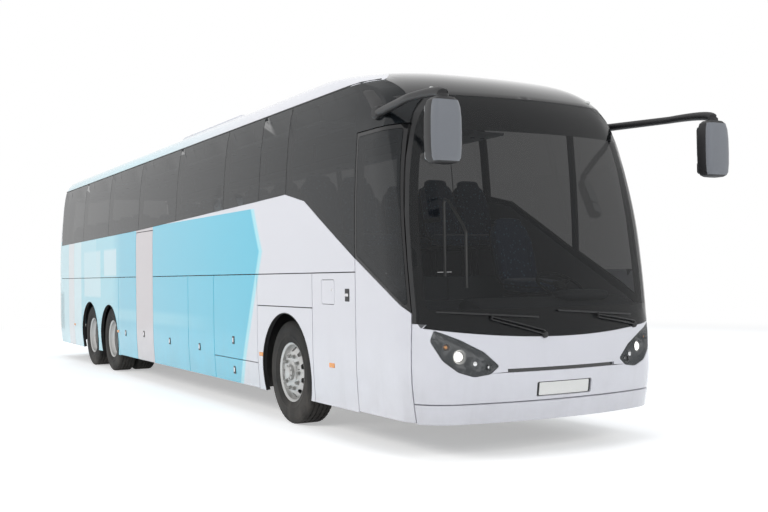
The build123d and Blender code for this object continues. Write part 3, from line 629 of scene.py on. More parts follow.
class Graph:
    """Short ways to add nodes to one node tree."""

    def __init__(self, tree):
        self.tree = tree

    def node(self, kind, **settings):
        made = self.tree.nodes.new(kind)
        for key, value in settings.items():
            setattr(made, key, value)
        return made

    def feed(self, socket, value):
        if isinstance(value, bpy.types.NodeSocket):
            self.tree.links.new(value, socket)
        else:
            socket.default_value = value

    def fill(self, made, **values):
        """Sets or links inputs of a node by their names, with _ for a space."""
        for label, value in values.items():
            self.feed(made.inputs[label.replace("_", " ")], value)

    def math(self, operation, *values, clamp=False):
        made = self.node("ShaderNodeMath", operation=operation, use_clamp=clamp)
        for socket, value in zip(made.inputs, values):
            self.feed(socket, value)
        return made.outputs[0]

    def ramp(self, value, low, high):
        """0 below low and 1 above high, smooth between."""
        made = self.node("ShaderNodeMapRange", interpolation_type="SMOOTHSTEP")
        self.fill(made, Value=value, From_Min=low, From_Max=high)
        return made.outputs["Result"]

    def between(self, value, low, high, soft=0.01):
        """1 between two values and 0 outside them."""
        rise = self.ramp(value, low - soft, low + soft)
        fall = self.ramp(value, high - soft, high + soft)
        return self.math("SUBTRACT", rise, fall, clamp=True)

    def mix(self, mask, base, colour):
        made = self.node("ShaderNodeMix", data_type="RGBA")
        self.feed(made.inputs[0], mask)
        self.feed(made.inputs[6], base)
        self.feed(made.inputs[7], colour)
        return made.outputs[2]

    def blend(self, mask, first, second):
        """A shader that goes from one shader to another by a mask."""
        made = self.node("ShaderNodeMixShader")
        for socket, value in zip(made.inputs, (mask, first, second)):
            self.feed(socket, value)
        return made.outputs[0]

    def noise(self, vector, scale, detail=3.0, rough=0.5):
        made = self.node("ShaderNodeTexNoise")
        self.fill(made, Vector=vector, Scale=scale, Detail=detail, Roughness=rough)
        return made.outputs["Fac"]

    def raise_by(self, shader, height, strength, distance):
        """Gives a shader the relief of a height."""
        made = self.node("ShaderNodeBump")
        self.fill(made, Strength=strength, Distance=distance, Height=height)
        self.feed(shader.inputs["Normal"], made.outputs[0])

    def place(self):
        """The place on the coach as one vector and as its three parts."""
        coord = self.node("ShaderNodeTexCoord").outputs["Object"]
        parts = self.node("ShaderNodeSeparateXYZ")
        self.feed(parts.inputs[0], coord)
        return coord, parts.outputs


def group(name, sockets_in, sockets_out):
    """A new shader node group with named sockets, its input node and its output node."""
    tree = bpy.data.node_groups.new(name, "ShaderNodeTree")
    kinds = {"value": "NodeSocketFloat", "colour": "NodeSocketColor"}
    for label, kind, default in sockets_in:
        socket = tree.interface.new_socket(label, in_out="INPUT", socket_type=kinds[kind])
        socket.default_value = default
    for label, kind in sockets_out:
        tree.interface.new_socket(label, in_out="OUTPUT", socket_type=kinds[kind])
    g = Graph(tree)
    return g, g.node("NodeGroupInput").outputs, g.node("NodeGroupOutput").inputs


def rgba(colour):
    return (*colour[:3], 1.0)


def livery_group():
    """Stripes and colour fields of the body paint, from the place on the coach."""
    colours = bpy.context.scene.coach_colours
    g, _, out = group("Livery", (), (("Colour", "colour"),))
    _, place = g.place()
    s = g.math("SUBTRACT", NOSE_X, place[0])
    z = place[2]
    tip_s, tip_z, upper_slope, lower_slope = 3.46, 1.77, 0.52, 0.433
    above = g.math("MULTIPLY", g.math("SUBTRACT", z, tip_z), upper_slope)
    below = g.math("MULTIPLY", g.math("SUBTRACT", tip_z, z), lower_slope)
    edge = g.math("ADD", tip_s, g.math("MAXIMUM", above, below))
    past = g.math("SUBTRACT", s, edge)
    under_belt = g.math("SUBTRACT", 1.0, g.ramp(z, 2.235, 2.245))
    colour = rgba(colours.pearl)
    pale = rgba(colours.pale_cyan)
    rim = g.math("MULTIPLY", g.ramp(past, -0.05, 0.02), under_belt)
    colour = g.mix(rim, colour, pale)
    field = g.math("MULTIPLY", g.ramp(past, 0.05, 0.10), under_belt)
    colour = g.mix(field, colour, rgba(colours.cyan))
    sweep_low = g.between(z, 0.86, 1.02, 0.05)
    sweep_back = g.ramp(s, 4.6, 7.0)
    wash = g.math("MULTIPLY", g.math("MULTIPLY", sweep_low, sweep_back), 0.35)
    colour = g.mix(g.math("MULTIPLY", wash, field), colour, pale)
    lighter = g.math("MULTIPLY", g.ramp(s, 9.2, 9.9), 0.62)
    colour = g.mix(g.math("MULTIPLY", lighter, field), colour, pale)
    for low_s, high_s, low_z, high_z, strength, tint in (
        (9.55, 10.35, 1.55, 1.98, 0.70, (0.62, 0.80, 0.86, 1)),
        (10.60, 11.80, 1.20, 1.98, 0.55, (0.66, 0.84, 0.88, 1)),
        (10.9, 12.4, 1.55, 2.20, 0.45, (0.40, 0.76, 0.86, 1)),
        (12.05, 12.62, 0.20, 2.20, 0.80, (0.60, 0.82, 0.88, 1)),
        (12.62, 13.10, 0.20, 2.20, 0.85, (0.72, 0.70, 0.72, 1)),
        (13.10, 15.00, 0.20, 2.30, 0.75, (0.46, 0.76, 0.84, 1)),
    ):
        mask = g.math("MULTIPLY", g.between(s, low_s, high_s, 0.03), g.between(z, low_z, high_z, 0.03))
        colour = g.mix(g.math("MULTIPLY", g.math("MULTIPLY", mask, strength), field), colour, tint)
    colour = g.mix(g.math("MULTIPLY", g.between(s, MIDDLE_FRONT, MIDDLE_REAR, 0.006), under_belt), colour,
                   rgba(colours.rose_grey))
    corner = g.math("MULTIPLY", g.ramp(s, 13.45, 13.60), g.between(z, 0.55, 1.25, 0.05))
    colour = g.mix(g.math("MULTIPLY", corner, 0.9), colour, rgba(colours.teal))
    cant = g.math("MULTIPLY", g.ramp(z, 3.19, 3.21), g.ramp(s, 3.6, 9.5))
    colour = g.mix(g.math("MULTIPLY", cant, 0.65), colour, pale)
    g.feed(out["Colour"], colour)
    return g.tree


def grain_group():
    """Small changes of roughness and height over a surface."""
    g, given, out = group(
        "Fine grain",
        (("Scale", "value", 40.0), ("Roughness", "value", 0.4), ("Spread", "value", 0.1),
         ("Relief", "value", 0.0)),
        (("Roughness", "value"), ("Height", "value")),
    )
    place = g.node("ShaderNodeTexCoord").outputs["Object"]
    fine = g.noise(place, given["Scale"], 4.0, 0.6)
    broad = g.noise(place, 0.9, 3.0, 0.5)
    mixed = g.math("ADD", g.math("MULTIPLY", fine, 0.5), g.math("MULTIPLY", broad, 0.5))
    shift = g.math("MULTIPLY", g.math("SUBTRACT", mixed, 0.5), given["Spread"])
    g.feed(out["Roughness"], g.math("ADD", given["Roughness"], shift, clamp=True))
    g.feed(out["Height"], g.math("MULTIPLY", fine, given["Relief"]))
    return g.tree


def film_group():
    """Road film: a dull, greyish cover that thickens towards the ground."""
    g, given, out = group(
        "Road film",
        (("Colour", "colour", (0.5, 0.5, 0.5, 1)), ("Film colour", "colour", (0.23, 0.21, 0.19, 1)),
         ("Amount", "value", 0.3), ("Top", "value", 1.1), ("Roughness", "value", 0.4)),
        (("Colour", "colour"), ("Roughness", "value"), ("Mask", "value")),
    )
    coord, place = g.place()
    low = g.math("SUBTRACT", 1.0, g.math("DIVIDE", place[2], given["Top"]), clamp=True)
    low = g.math("POWER", low, 1.6)
    patches = g.ramp(g.noise(coord, 2.2, 5.0, 0.62), 0.25, 0.75)
    streaks = g.node("ShaderNodeMapping")
    g.feed(streaks.inputs["Vector"], coord)
    streaks.inputs["Scale"].default_value = (9.0, 9.0, 0.7)
    runs = g.ramp(g.noise(streaks.outputs[0], 1.0, 4.0, 0.6), 0.45, 0.75)
    mask = g.math("MULTIPLY", low, g.math("ADD", g.math("MULTIPLY", patches, 0.75),
                                          g.math("MULTIPLY", runs, 0.35)))
    mask = g.math("MULTIPLY", mask, given["Amount"], clamp=True)
    g.feed(out["Colour"], g.mix(mask, given["Colour"], given["Film colour"]))
    rougher = g.math("MULTIPLY", mask, g.math("SUBTRACT", 0.85, given["Roughness"]))
    g.feed(out["Roughness"], g.math("ADD", given["Roughness"], rougher, clamp=True))
    g.feed(out["Mask"], mask)
    return g.tree


def weave_group():
    """Upholstery weave: crossing threads with small figures."""
    g, given, out = group(
        "Upholstery weave",
        (("Ground", "colour", (0.03, 0.05, 0.10, 1)), ("Figure", "colour", (0.10, 0.22, 0.32, 1)),
         ("Threads", "value", 260.0)),
        (("Colour", "colour"), ("Height", "value")),
    )
    coord, place = g.place()
    across = g.math("SINE", g.math("MULTIPLY", place[1], given["Threads"]))
    along = g.math("SINE", g.math("MULTIPLY", g.math("ADD", place[0], place[2]), given["Threads"]))
    threads = g.math("MULTIPLY", across, along)
    cells = g.node("ShaderNodeTexVoronoi")
    g.feed(cells.inputs["Vector"], coord)
    cells.inputs["Scale"].default_value = 26.0
    spots = g.ramp(cells.outputs["Distance"], 0.28, 0.18)
    g.feed(out["Colour"], g.mix(spots, given["Ground"], given["Figure"]))
    g.feed(out["Height"], g.math("ADD", threads, g.math("MULTIPLY", spots, 0.4)))
    return g.tree


def place_group(g, tree, **values):
    """A group node in a material, with its inputs set or linked."""
    made = g.node("ShaderNodeGroup", node_tree=tree)
    g.fill(made, **values)
    return made.outputs


def material(name, colour, rough=0.4, spread=0.08, metal=0.0, coat=0.0, scale=60.0, relief=0.0, film=0.0,
             film_top=1.3,
             specular=0.5, livery=False, bump=0.02, emission=None, glow=0.0):
    """A finish with fine grain, and with road film and the livery where asked."""
    made = bpy.data.materials.new(name)
    made.use_nodes = True
    g = Graph(made.node_tree)
    shader = made.node_tree.nodes["Principled BSDF"]
    grain = place_group(g, GROUPS["grain"], Scale=scale, Roughness=rough, Spread=spread, Relief=relief)
    base = place_group(g, GROUPS["livery"])["Colour"] if livery else rgba(colour)
    roughness = grain["Roughness"]
    if film > 0:
        cover = place_group(g, GROUPS["film"], Colour=base, Amount=film, Top=film_top, Roughness=roughness)
        base, roughness = cover["Colour"], cover["Roughness"]
    elif not livery:
        spots = g.noise(g.node("ShaderNodeTexCoord").outputs["Object"], scale * 0.5, 3.0, 0.6)
        darker = tuple(c * 0.86 for c in colour[:3])
        base = g.mix(spots, rgba(colour), rgba(darker))
    g.fill(shader, Base_Color=base, Roughness=roughness, Metallic=metal, Coat_Weight=coat, Coat_Roughness=0.04,
           Specular_IOR_Level=specular)
    if relief > 0:
        g.raise_by(shader, grain["Height"], 0.6, bump)
    if emission:
        shader.inputs["Emission Color"].default_value = rgba(emission)
        shader.inputs["Emission Strength"].default_value = glow
    made.diffuse_color = rgba(colour)
    return made


def glass(name, tint, clear=0.25, rough=0.02):
    """Thin bonded glass: a tint that lets some light through, with a plain mirror gloss on top."""
    made = bpy.data.materials.new(name)
    made.use_nodes = True
    g = Graph(made.node_tree)
    shader = made.node_tree.nodes["Principled BSDF"]
    shader.inputs["Base Color"].default_value = rgba(tint)
    grain = place_group(g, GROUPS["grain"], Scale=3.0, Roughness=rough, Spread=0.02, Relief=0.0)
    g.feed(shader.inputs["Roughness"], grain["Roughness"])
    shader.inputs["Alpha"].default_value = 1 - clear
    shader.inputs["Specular IOR Level"].default_value = 0.32
    made.diffuse_color = (*tint[:3], 1 - clear)
    return made


GROUPS, PAINTS = {}, {}


def make_finishes():
    """All node groups and materials, once, before the pieces."""
    colours = bpy.context.scene.coach_colours
    GROUPS.update(livery=livery_group(), grain=grain_group(), film=film_group(), weave=weave_group())
    PAINTS.update(
        livery=material("Body paint in livery", colours.pearl, 0.30, 0.06, coat=0.9, livery=True, film=0.35,
                        scale=900,
                        relief=0.02, bump=0.0008),
        pearl=material("Pearl body paint", colours.pearl, 0.30, 0.06, coat=0.9, film=0.35, scale=900,
                       relief=0.02,
                       bump=0.0008),
        lining=material("Pressed inner lining", (0.22, 0.22, 0.23), 0.7, 0.1, scale=120, relief=0.3,
                        bump=0.001),
        tinted=glass("Tinted side glass", (0.008, 0.010, 0.012), 0.14),
        screen=glass("Clear windscreen", (0.008, 0.009, 0.010), 0.36),
        frit=material("Black ceramic border", (0.008, 0.008, 0.009), 0.08, 0.03, scale=30),
        rubber=material("Seal rubber", (0.012, 0.012, 0.012), 0.62, 0.1, scale=200, relief=0.1, bump=0.0006),
        black=material("Grained black plastic", (0.016, 0.016, 0.017), 0.48, 0.1, scale=350, relief=0.5,
                       bump=0.0006,
                       film=0.25),
        gloss=material("Gloss black", (0.006, 0.006, 0.007), 0.10, 0.04, coat=0.6),
        grey=material("Grey shell plastic", (0.16, 0.17, 0.19), 0.36, 0.08, scale=260, relief=0.2, bump=0.0004,
                      coat=0.3),
        tyre=material("Tyre rubber", (0.017, 0.017, 0.017), 0.80, 0.12, scale=90, relief=0.35, bump=0.001,
                      film=0.45,
                      film_top=1.6, specular=0.3),
        rim=material("Silver wheel paint", colours.rim, 0.34, 0.12, metal=0.75, scale=70, relief=0.08,
                     bump=0.0006,
                     film=0.4, film_top=1.3),
        nut=material("Plated wheel nuts", (0.42, 0.42, 0.41), 0.30, 0.15, metal=0.95, scale=200),
        chrome=material("Bright plating", (0.80, 0.80, 0.81), 0.07, 0.04, metal=1.0, scale=30),
        mirror=material("Mirror glass", (0.82, 0.85, 0.87), 0.02, 0.01, metal=1.0, scale=10),
        lens=glass("Clear lamp cover", (0.75, 0.78, 0.80), 0.90),
        lit=material("Lit lamp", (0.9, 0.9, 0.88), 0.2, 0.02, emission=(1.0, 0.98, 0.92), glow=2.2),
        amber=material("Amber lens", (0.85, 0.30, 0.02), 0.15, 0.04, coat=0.5, scale=300, relief=0.3,
                       bump=0.001),
        red=material("Red lens", (0.45, 0.010, 0.008), 0.15, 0.04, coat=0.5, scale=300, relief=0.3, bump=0.001),
        white_lens=material("White lens", (0.78, 0.78, 0.76), 0.15, 0.04, coat=0.5, scale=300, relief=0.3,
                            bump=0.001),
        frame=material("Chassis paint", (0.022, 0.022, 0.024), 0.62, 0.15, scale=80, relief=0.2, bump=0.001,
                       film=0.7,
                       film_top=1.6),
        floor=material("Ribbed floor covering", (0.075, 0.080, 0.090), 0.60, 0.12, scale=300, relief=0.3,
                       bump=0.0008),
        steel=material("Bare step edge", (0.50, 0.50, 0.49), 0.32, 0.15, metal=0.9, scale=120, relief=0.1,
                       bump=0.0004),
        dash=material("Soft dashboard skin", (0.045, 0.047, 0.052), 0.60, 0.08, scale=420, relief=0.5,
                      bump=0.0006),
        rack=material("Rack lining", (0.32, 0.33, 0.35), 0.55, 0.1, scale=160, relief=0.2, bump=0.0006),
        iron=material("Painted engine iron", (0.10, 0.11, 0.12), 0.55, 0.15, scale=60, relief=0.4, bump=0.002,
                      film=0.3,
                      film_top=2.0),
        cloth=upholstery(),
    )


def upholstery():
    """Woven seat cloth."""
    made = bpy.data.materials.new("Woven seat cloth")
    made.use_nodes = True
    g = Graph(made.node_tree)
    shader = made.node_tree.nodes["Principled BSDF"]
    weave = place_group(g, GROUPS["weave"])
    g.feed(shader.inputs["Base Color"], weave["Colour"])
    g.fill(shader, Roughness=0.85, Sheen_Weight=0.35)
    g.raise_by(shader, weave["Height"], 0.5, 0.001)
    made.diffuse_color = (0.05, 0.07, 0.12, 1)
    return made


def keep_node(name, *finishes):
    """Gives a CAD node that stays in view its finish."""
    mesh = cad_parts[name].data
    mesh.materials.clear()
    for finish in finishes:
        mesh.materials.append(PAINTS[finish])
    mesh.polygons.foreach_set("material_index", [0] * len(mesh.polygons))


def arc_over(arch, low=SKIRT, count=26):
    """The edge of a wheel arch from front to rear, from the skirt up and over."""
    s, radius = arch
    start = math.asin((low - AXLE_Z) / radius)
    angles = [math.pi - start - (math.pi - 2 * start) * k / count for k in range(count + 1)]
    return [(s + radius * math.cos(a), AXLE_Z + radius * math.sin(a)) for a in angles]


def belt_run(front, back, drop=0.0):
    """The belt line from one distance to another, lowered by a little."""
    inner = [(s, z - drop) for s, z in BELT if front < s < back]
    return [(front, line_at(BELT, front) - drop)] + inner + [(back, line_at(BELT, back) - drop)]


SERVICE_FLAP = rect(1.72, 1.23, 1.99, 1.46)
WALL_SPLIT = 2.200
ARCH_LINE = 1.190
WALL_REAR = REAR_SEAM - 0.0003
FLAPS_FRONT, FLAPS_REAR = 3.600, 9.430


def lower_panels(front):
    """Outlines of the painted panels below the flap line, from a front edge back."""
    half = GAP / 2
    top = FLAP_TOP
    nose_part = rect(front, SKIRT, WALL_SPLIT - half, top)
    over = rect(WALL_SPLIT + half, ARCH_LINE + half, FLAPS_FRONT - half, top)
    around = [(WALL_SPLIT + half, SKIRT)] + arc_over(ARCHES[0])
    around += [(FLAPS_FRONT - half, SKIRT), (FLAPS_FRONT - half, ARCH_LINE - half),
               (WALL_SPLIT + half, ARCH_LINE - half)]
    rear_part = [(FLAPS_REAR + half, SKIRT)] + arc_over(ARCHES[1]) + arc_over(ARCHES[2])
    rear_part += [(WALL_REAR, SKIRT), (WALL_REAR, top), (FLAPS_REAR + half, top)]
    return nose_part, over, around, rear_part


class COACH_OT_side_walls(bpy.types.Operator):
    """Painted walls between the skirt and the belt, with their seams and arch trims"""

    bl_idname = "coach.side_walls"
    bl_label = "Side walls"

    def execute(self, context):
        trim = context.scene.coach_trim
        for side, word in ((-1, "right"), (1, "left")):
            shape = Shape()
            front = DOOR_REAR + GAP if side < 0 else DOOR_FRONT + 0.0003
            nose_part, over, around, rear_part = lower_panels(front)
            options = {"depth": WALL_SHEET, "lip": trim.edge, "grid": (0.30, 0.09)}
            holes = [soften(SERVICE_FLAP, 0.02)] if side < 0 else []
            side_panel(shape, [nose_part] + holes, side, **options)
            if side < 0:
                lid = [(s + (0.004 if s < 1.8 else -0.004), z + (0.004 if z < 1.3 else -0.004))
                       for s, z in SERVICE_FLAP]
                side_panel(shape, [soften(lid, 0.018)], side, **options)
            for ring in (over, around, rear_part):
                side_panel(shape, [ring], side, **options)
            upper = [(front, FLAP_TOP + GAP)]
            if side < 0:
                upper += [(MIDDLE_FRONT - GAP, FLAP_TOP + GAP), (MIDDLE_FRONT - GAP, MIDDLE_TOP + GAP),
                          (MIDDLE_REAR + GAP, MIDDLE_TOP + GAP), (MIDDLE_REAR + GAP, FLAP_TOP + GAP)]
            upper += [(WALL_REAR, FLAP_TOP + GAP)]
            start = front if side < 0 else DOOR_REAR
            crown = belt_run(start, WALL_REAR, 0.002)[::-1]
            if side > 0:
                upper[0] = (front, DOOR_BELT - 0.002)
                upper = [(WALL_SPLIT, FLAP_TOP + GAP)] + upper[1:]
                crown = crown[:-1] + [(1.3, 1.638), (1.08, FLAP_TOP + GAP)]
            side_panel(shape, [upper + crown], side, **options)
            whole = [(front + 0.002, SKIRT + 0.002)] + arc_over(ARCHES[0], SKIRT + 0.002)
            whole += [(FLAPS_FRONT - 0.006, SKIRT + 0.002), (FLAPS_FRONT - 0.006, FLAP_TOP + GAP - 0.002)]
            if side < 0:
                whole += [(MIDDLE_FRONT - GAP - 0.002, FLAP_TOP + GAP - 0.002), (MIDDLE_FRONT - GAP - 0.002,
                                                                                 MIDDLE_TOP + GAP),
                          (MIDDLE_REAR + GAP + 0.002, MIDDLE_TOP + GAP), (MIDDLE_REAR + GAP + 0.002,
                                                                          FLAP_TOP + GAP - 0.002)]
            whole += [(FLAPS_REAR + 0.006, FLAP_TOP + GAP - 0.002), (FLAPS_REAR + 0.006, SKIRT + 0.002)]
            whole += arc_over(ARCHES[1], SKIRT + 0.002) + arc_over(ARCHES[2], SKIRT + 0.002)
            whole += [(WALL_REAR - 0.002, SKIRT + 0.002), (WALL_REAR - 0.002, 2.166)]
            crown = [(s, z - 0.004) for s, z in belt_run(front + 0.002 if side < 0 else DOOR_REAR,
                                                         WALL_REAR - 0.002)][::-1]
            whole += crown
            if side > 0:
                whole += [(front + 0.002, DOOR_BELT - 0.004)]
            side_panel(shape, [whole], side, proud=WALL_BACKING, depth=0.032, lip=0.001, grid=(0.5, 0.15),
                       paint=1, back_paint=2)
            shape.make(f"side_wall_{word}", "livery rubber lining",
                       nodes=(f"side_wall_{word}",), slot="body_paint")
            lips = Shape()
            for arch in ARCHES:
                edge = arc_over((arch[0], arch[1] - 0.004), SKIRT, 40)
                pipe(lips, [spot(s, z, side, -0.006) for s, z in edge], (0.005, 0.011), sides=8, up=(0, 1, 0))
            lips.make(f"arch_trim_{word}", "rubber")
        details = Shape()
        lock = spot(1.775, 1.365, -1, 0.0)
        lathe(details, capped(0.004, 0.0, (0.012, 0.004), (0.014, 0.0)), lock, (0, -1, 0), 20, paint=1)
        handle = spot(1.46, 1.32, -1, 0.0)
        block(details, handle + Vector((-0.045, -0.004, -0.06)), handle + Vector((0.045, 0.010, 0.06)), 0.01,
              paint=0)
        block(details, handle + Vector((-0.03, -0.012, -0.012)), handle + Vector((0.03, 0.0, 0.014)), 0.006,
              paint=1)
        details.make("wall_locks", "black chrome")
        lamps = Shape()
        for side in (-1, 1):
            for s, z in ((1.79, 0.67), (3.50, 0.67), (9.47, 0.67), (12.60, 0.67)):
                middle = spot(s, z, side, 0.0)
                low, high = middle - Vector((0.055, 0.006, 0.022)), middle + Vector((0.055, 0.006, 0.022))
                block(lamps, low, high, 0.012)
        lamps.make("side_marker_lamps", "amber", slot="lamp_lens")
        return {"FINISHED"}


def flap_handle(shape, s, z, side, paint):
    """A flush lock handle: dark tray with a bright lever."""
    middle = spot(s, z, side, 0.0)
    block(shape, middle - Vector((0.034, 0.0035, 0.045)), middle + Vector((0.034, 0.0035, 0.045)), 0.012, paint)
    out = side * 0.006
    lever = middle + Vector((0, out, 0.004))
    block(shape, lever - Vector((0.014, 0.003, 0.028)), lever + Vector((0.014, 0.003, 0.022)), 0.006, paint + 1)


FLAPS = (
    ("luggage_flap_right_1", 3.600, 4.980, -1, ((4.33, 0.78), (4.33, 0.44))),
    ("luggage_flap_right_2", 4.980, 5.950, -1, ((5.52, 0.64),)),
    ("luggage_flap_right_3", 5.950, 7.520, -1, ((6.75, 0.65),)),
    ("luggage_flap_right_4", 8.400, 9.430, -1, ((9.01, 0.66),)),
    ("luggage_flap_left_1", 3.600, 5.540, 1, ((4.57, 0.65),)),
    ("luggage_flap_left_2", 5.540, 7.480, 1, ((6.51, 0.65),)),
    ("luggage_flap_left_3", 7.480, 9.430, 1, ((8.45, 0.65),)),
)


class COACH_OT_luggage_flaps(bpy.types.Operator):
    """Seven lifting flaps of the luggage hold"""

    bl_idname = "coach.luggage_flaps"
    bl_label = "Luggage flaps"

    def execute(self, context):
        trim = context.scene.coach_trim
        half = GAP / 2
        for name, front, back, side, handles in FLAPS:
            shape = Shape()
            low, high = 0.300, FLAP_TOP
            cuts = [(low, high)] if name != "luggage_flap_right_1" else [(low, 0.566), (0.574, high)]
            for bottom, top in cuts:
                ring = rect(front + half, bottom, back - half, top)
                side_panel(shape, [soften(ring, 0.006, 2)], side, depth=0.014, lip=trim.edge, grid=(0.3, 0.09),
                           paint=0)
            ring = rect(front + half + 0.003, low + 0.003, back - half - 0.003, high - 0.003)
            side_panel(shape, [ring], side, proud=-0.0145, depth=0.030, lip=0.002, grid=(0.4, 0.2), paint=1)
            for place in (front + 0.25, back - 0.25):
                y = side * (HALF_WIDTH - 0.052)
                x = NOSE_X - place
                block(shape, (x - 0.05, min(y, y - side * 0.016), 0.36), (x + 0.05, max(y, y - side * 0.016),
                                                                          1.46), 0.006, 1)
            for s, z in handles:
                flap_handle(shape, s, z, side, 2)
            shape.make(name, "livery lining black chrome", body=name,
                       nodes=(name,), slot="body_paint")
        return {"FINISHED"}


def door_line(s):
    """The slanted line between the painted lower part of the entry door and its glass."""
    return DOOR_BELT + 0.012 + (s - DOOR_FRONT) * (1.628 - DOOR_BELT) / (DOOR_REAR - DOOR_FRONT)


class COACH_OT_doors(bpy.types.Operator):
    """Entry door with its glass, and the middle door"""

    bl_idname = "coach.doors"
    bl_label = "Doors"

    def execute(self, context):
        trim = context.scene.coach_trim
        shape = Shape()
        front, back = DOOR_FRONT, DOOR_REAR
        lower = [(front, DOOR_SILL), (back, DOOR_SILL), (back, door_line(back)), (front, door_line(front))]
        side_panel(shape, [lower], -1, depth=BODY_DEPTH, lip=trim.edge, grid=(0.15, 0.09), paint=0,
                   back_paint=1)
        outline = [(front, door_line(front) + 0.004), (back, door_line(back) + 0.004), (back, DOOR_TOP),
                   (lean(DOOR_TOP), DOOR_TOP), (lean(2.0), 2.0), (lean(1.5), 1.5)]
        pane = [(front + 0.034, door_line(front) + 0.050), (back - 0.029, door_line(back) + 0.030),
                (back - 0.029, DOOR_TOP - 0.034),
                (lean(DOOR_TOP) + 0.029, DOOR_TOP - 0.034)]
        hole = [(front + 0.085, door_line(front) + 0.125), (back - 0.075, door_line(back) + 0.09),
                (back - 0.075, DOOR_TOP - 0.085),
                (lean(DOOR_TOP) + 0.070, DOOR_TOP - 0.085)]
        side_panel(shape, [outline, soften(pane, 0.03)], -1, depth=0.013, lip=0.003, grid=(0.15, 0.09), paint=2)
        side_panel(shape, [outline, soften(hole, 0.05)], -1, proud=WALL_BACKING, depth=0.032, lip=0.002,
                   grid=(0.15, 0.09), paint=2)
        bracket(shape, DOOR_FRONT, 3)
        shape.make("entry_door", "pearl lining frit frame", body="entry_door",
                   nodes=("entry_door",), slot="body_paint")
        sheet = Shape()
        inner = [(s + (0.003 if s < 1 else -0.003), z + (0.003 if z < 2 else -0.003)) for s, z in pane]
        side_panel(sheet, [soften(inner, 0.028)], -1, depth=trim.glass_depth, lip=0.002, grid=(0.15, 0.09),
                   backed=False)
        sheet.make("entry_door_glass", "tinted", body="entry_door", nodes=("entry_door_glass",),
                   slot="tinted_glass", sharp=9)
        shape = Shape()
        ring = rect(MIDDLE_FRONT, DOOR_SILL, MIDDLE_REAR, MIDDLE_TOP)
        side_panel(shape, [soften(ring, 0.008, 2)], -1, depth=BODY_DEPTH, lip=trim.edge, grid=(0.3, 0.09),
                   paint=0, back_paint=1)
        flap_handle(shape, 8.00, 0.69, -1, 2)
        bracket(shape, MIDDLE_FRONT, 4)
        shape.make("middle_door", "livery lining black chrome frame",
                   body="middle_door", nodes=("middle_door",), slot="body_paint")
        keep_node("entry_door_arm", "frame")
        keep_node("middle_door_arm", "frame")
        return {"FINISHED"}


def bracket(shape, front, paint):
    """The lug on the inside of a door that its arm turns in."""
    x = NOSE_X - (front + 0.095 + 0.600)
    y = -(HALF_WIDTH - 0.150)
    for z in (DOOR_SILL + 0.140, DOOR_SILL + 0.260):
        block(shape, (x - 0.03, -(HALF_WIDTH - 0.046), z - 0.012), (x + 0.03, y + 0.03, z + 0.012), 0.004,
              paint)
    lathe(shape, capped(-0.06, 0.06, (0.014, -0.06), (0.014, 0.06)), (x, y, DOOR_SILL + 0.200), (0, 0, 1), 20,
          paint)


class COACH_OT_glazing(bpy.types.Operator):
    """Bonded side panes and windscreen"""

    bl_idname = "coach.glazing"
    bl_label = "Glazing"

    def execute(self, context):
        trim = context.scene.coach_trim
        shape = Shape()
        half = 0.0035
        for side in (-1, 1):
            edges = [None] + list(PANE_SEAMS) + [REAR_SEAM]
            for start, end in zip(edges, edges[1:]):
                last = end - (half if end != REAR_SEAM else 0.001)
                if start is None:
                    if side < 0:
                        door_top = DOOR_TOP + 0.008
                        ring = belt_run(DOOR_REAR + 0.008, last) + [(last, ROOF_SEAM)]
                        ring += [(front_edge(z), z) for z in (ROOF_SEAM, 3.17, 3.12, 3.06, DOME_SEAM)]
                        ring += [(lean(door_top), door_top), (DOOR_REAR + 0.008, door_top)]
                    else:
                        ring = [(DOOR_FRONT, DOOR_BELT)] + belt_run(DOOR_REAR, last) + [(last, ROOF_SEAM)]
                        ring += [(front_edge(z), z) for z in (ROOF_SEAM, 3.17, 3.12, 3.06, DOME_SEAM, 2.4, 1.8)]
                else:
                    ring = belt_run(start + half, last) + [(last, ROOF_SEAM), (start + half, ROOF_SEAM)]
                side_panel(shape, [ring], side, depth=trim.glass_depth, lip=0.002, grid=(0.35, 0.09),
                           backed=False)
        shape.make("side_glass", "tinted", nodes=("side_glass",), slot="tinted_glass", sharp=9)
        keep_node("window_pillars", "black")
        fillets = Shape()
        for side in (-1, 1):
            for s in PANE_SEAMS:
                low, high = line_at(BELT, s) + 0.002, ROOF_SEAM - 0.002
                steps = 14
                path = [spot(s, low + (high - low) * k / steps, side, -0.006) for k in range(steps + 1)]
                pipe(fillets, path, (0.005, 0.004), sides=6, up=(1, 0, 0))
        fillets.make("pane_seals", "rubber")
        screen = Shape()
        panel(screen, [screen_outline(0.0)], skin, depth=trim.glass_depth, lip=0.002, grid=(0.09, 0.07),
              backed=False)
        screen.make("windscreen", "screen", nodes=("windscreen",), slot="tinted_glass", sharp=9)
        border = Shape()
        panel(border, [screen_outline(0.004), screen_light()], skin, proud=-0.0105, depth=0.0015, lip=0.0005,
              grid=(0.09, 0.07))
        border.make("screen_border", "frit")
        return {"FINISHED"}


def screen_foot(y):
    """Height of the bowed lower edge of the windscreen at a width."""
    radius = 8.125
    return SCREEN_BASE + radius - math.sqrt(radius**2 - y**2)


def screen_outline(draw):
    """Outline of the windscreen round the nose, as (run, height)."""
    top = DOME_SEAM - 0.0005 - draw
    foot = []
    width = 1.205
    count = 36
    for k in range(count + 1):
        y = -width + 2 * width * k / count
        z = screen_foot(y) + draw
        foot.append((from_front(y, z), z))
    sides = []
    steps = 20
    for k in range(steps + 1):
        z = SCREEN_CORNER + 0.02 + (top - SCREEN_CORNER - 0.02) * k / steps
        sides.append((from_side(lean(z) - 0.045 - draw, z, 1), z))
    return foot + sides + [(-u, z) for u, z in reversed(sides)]


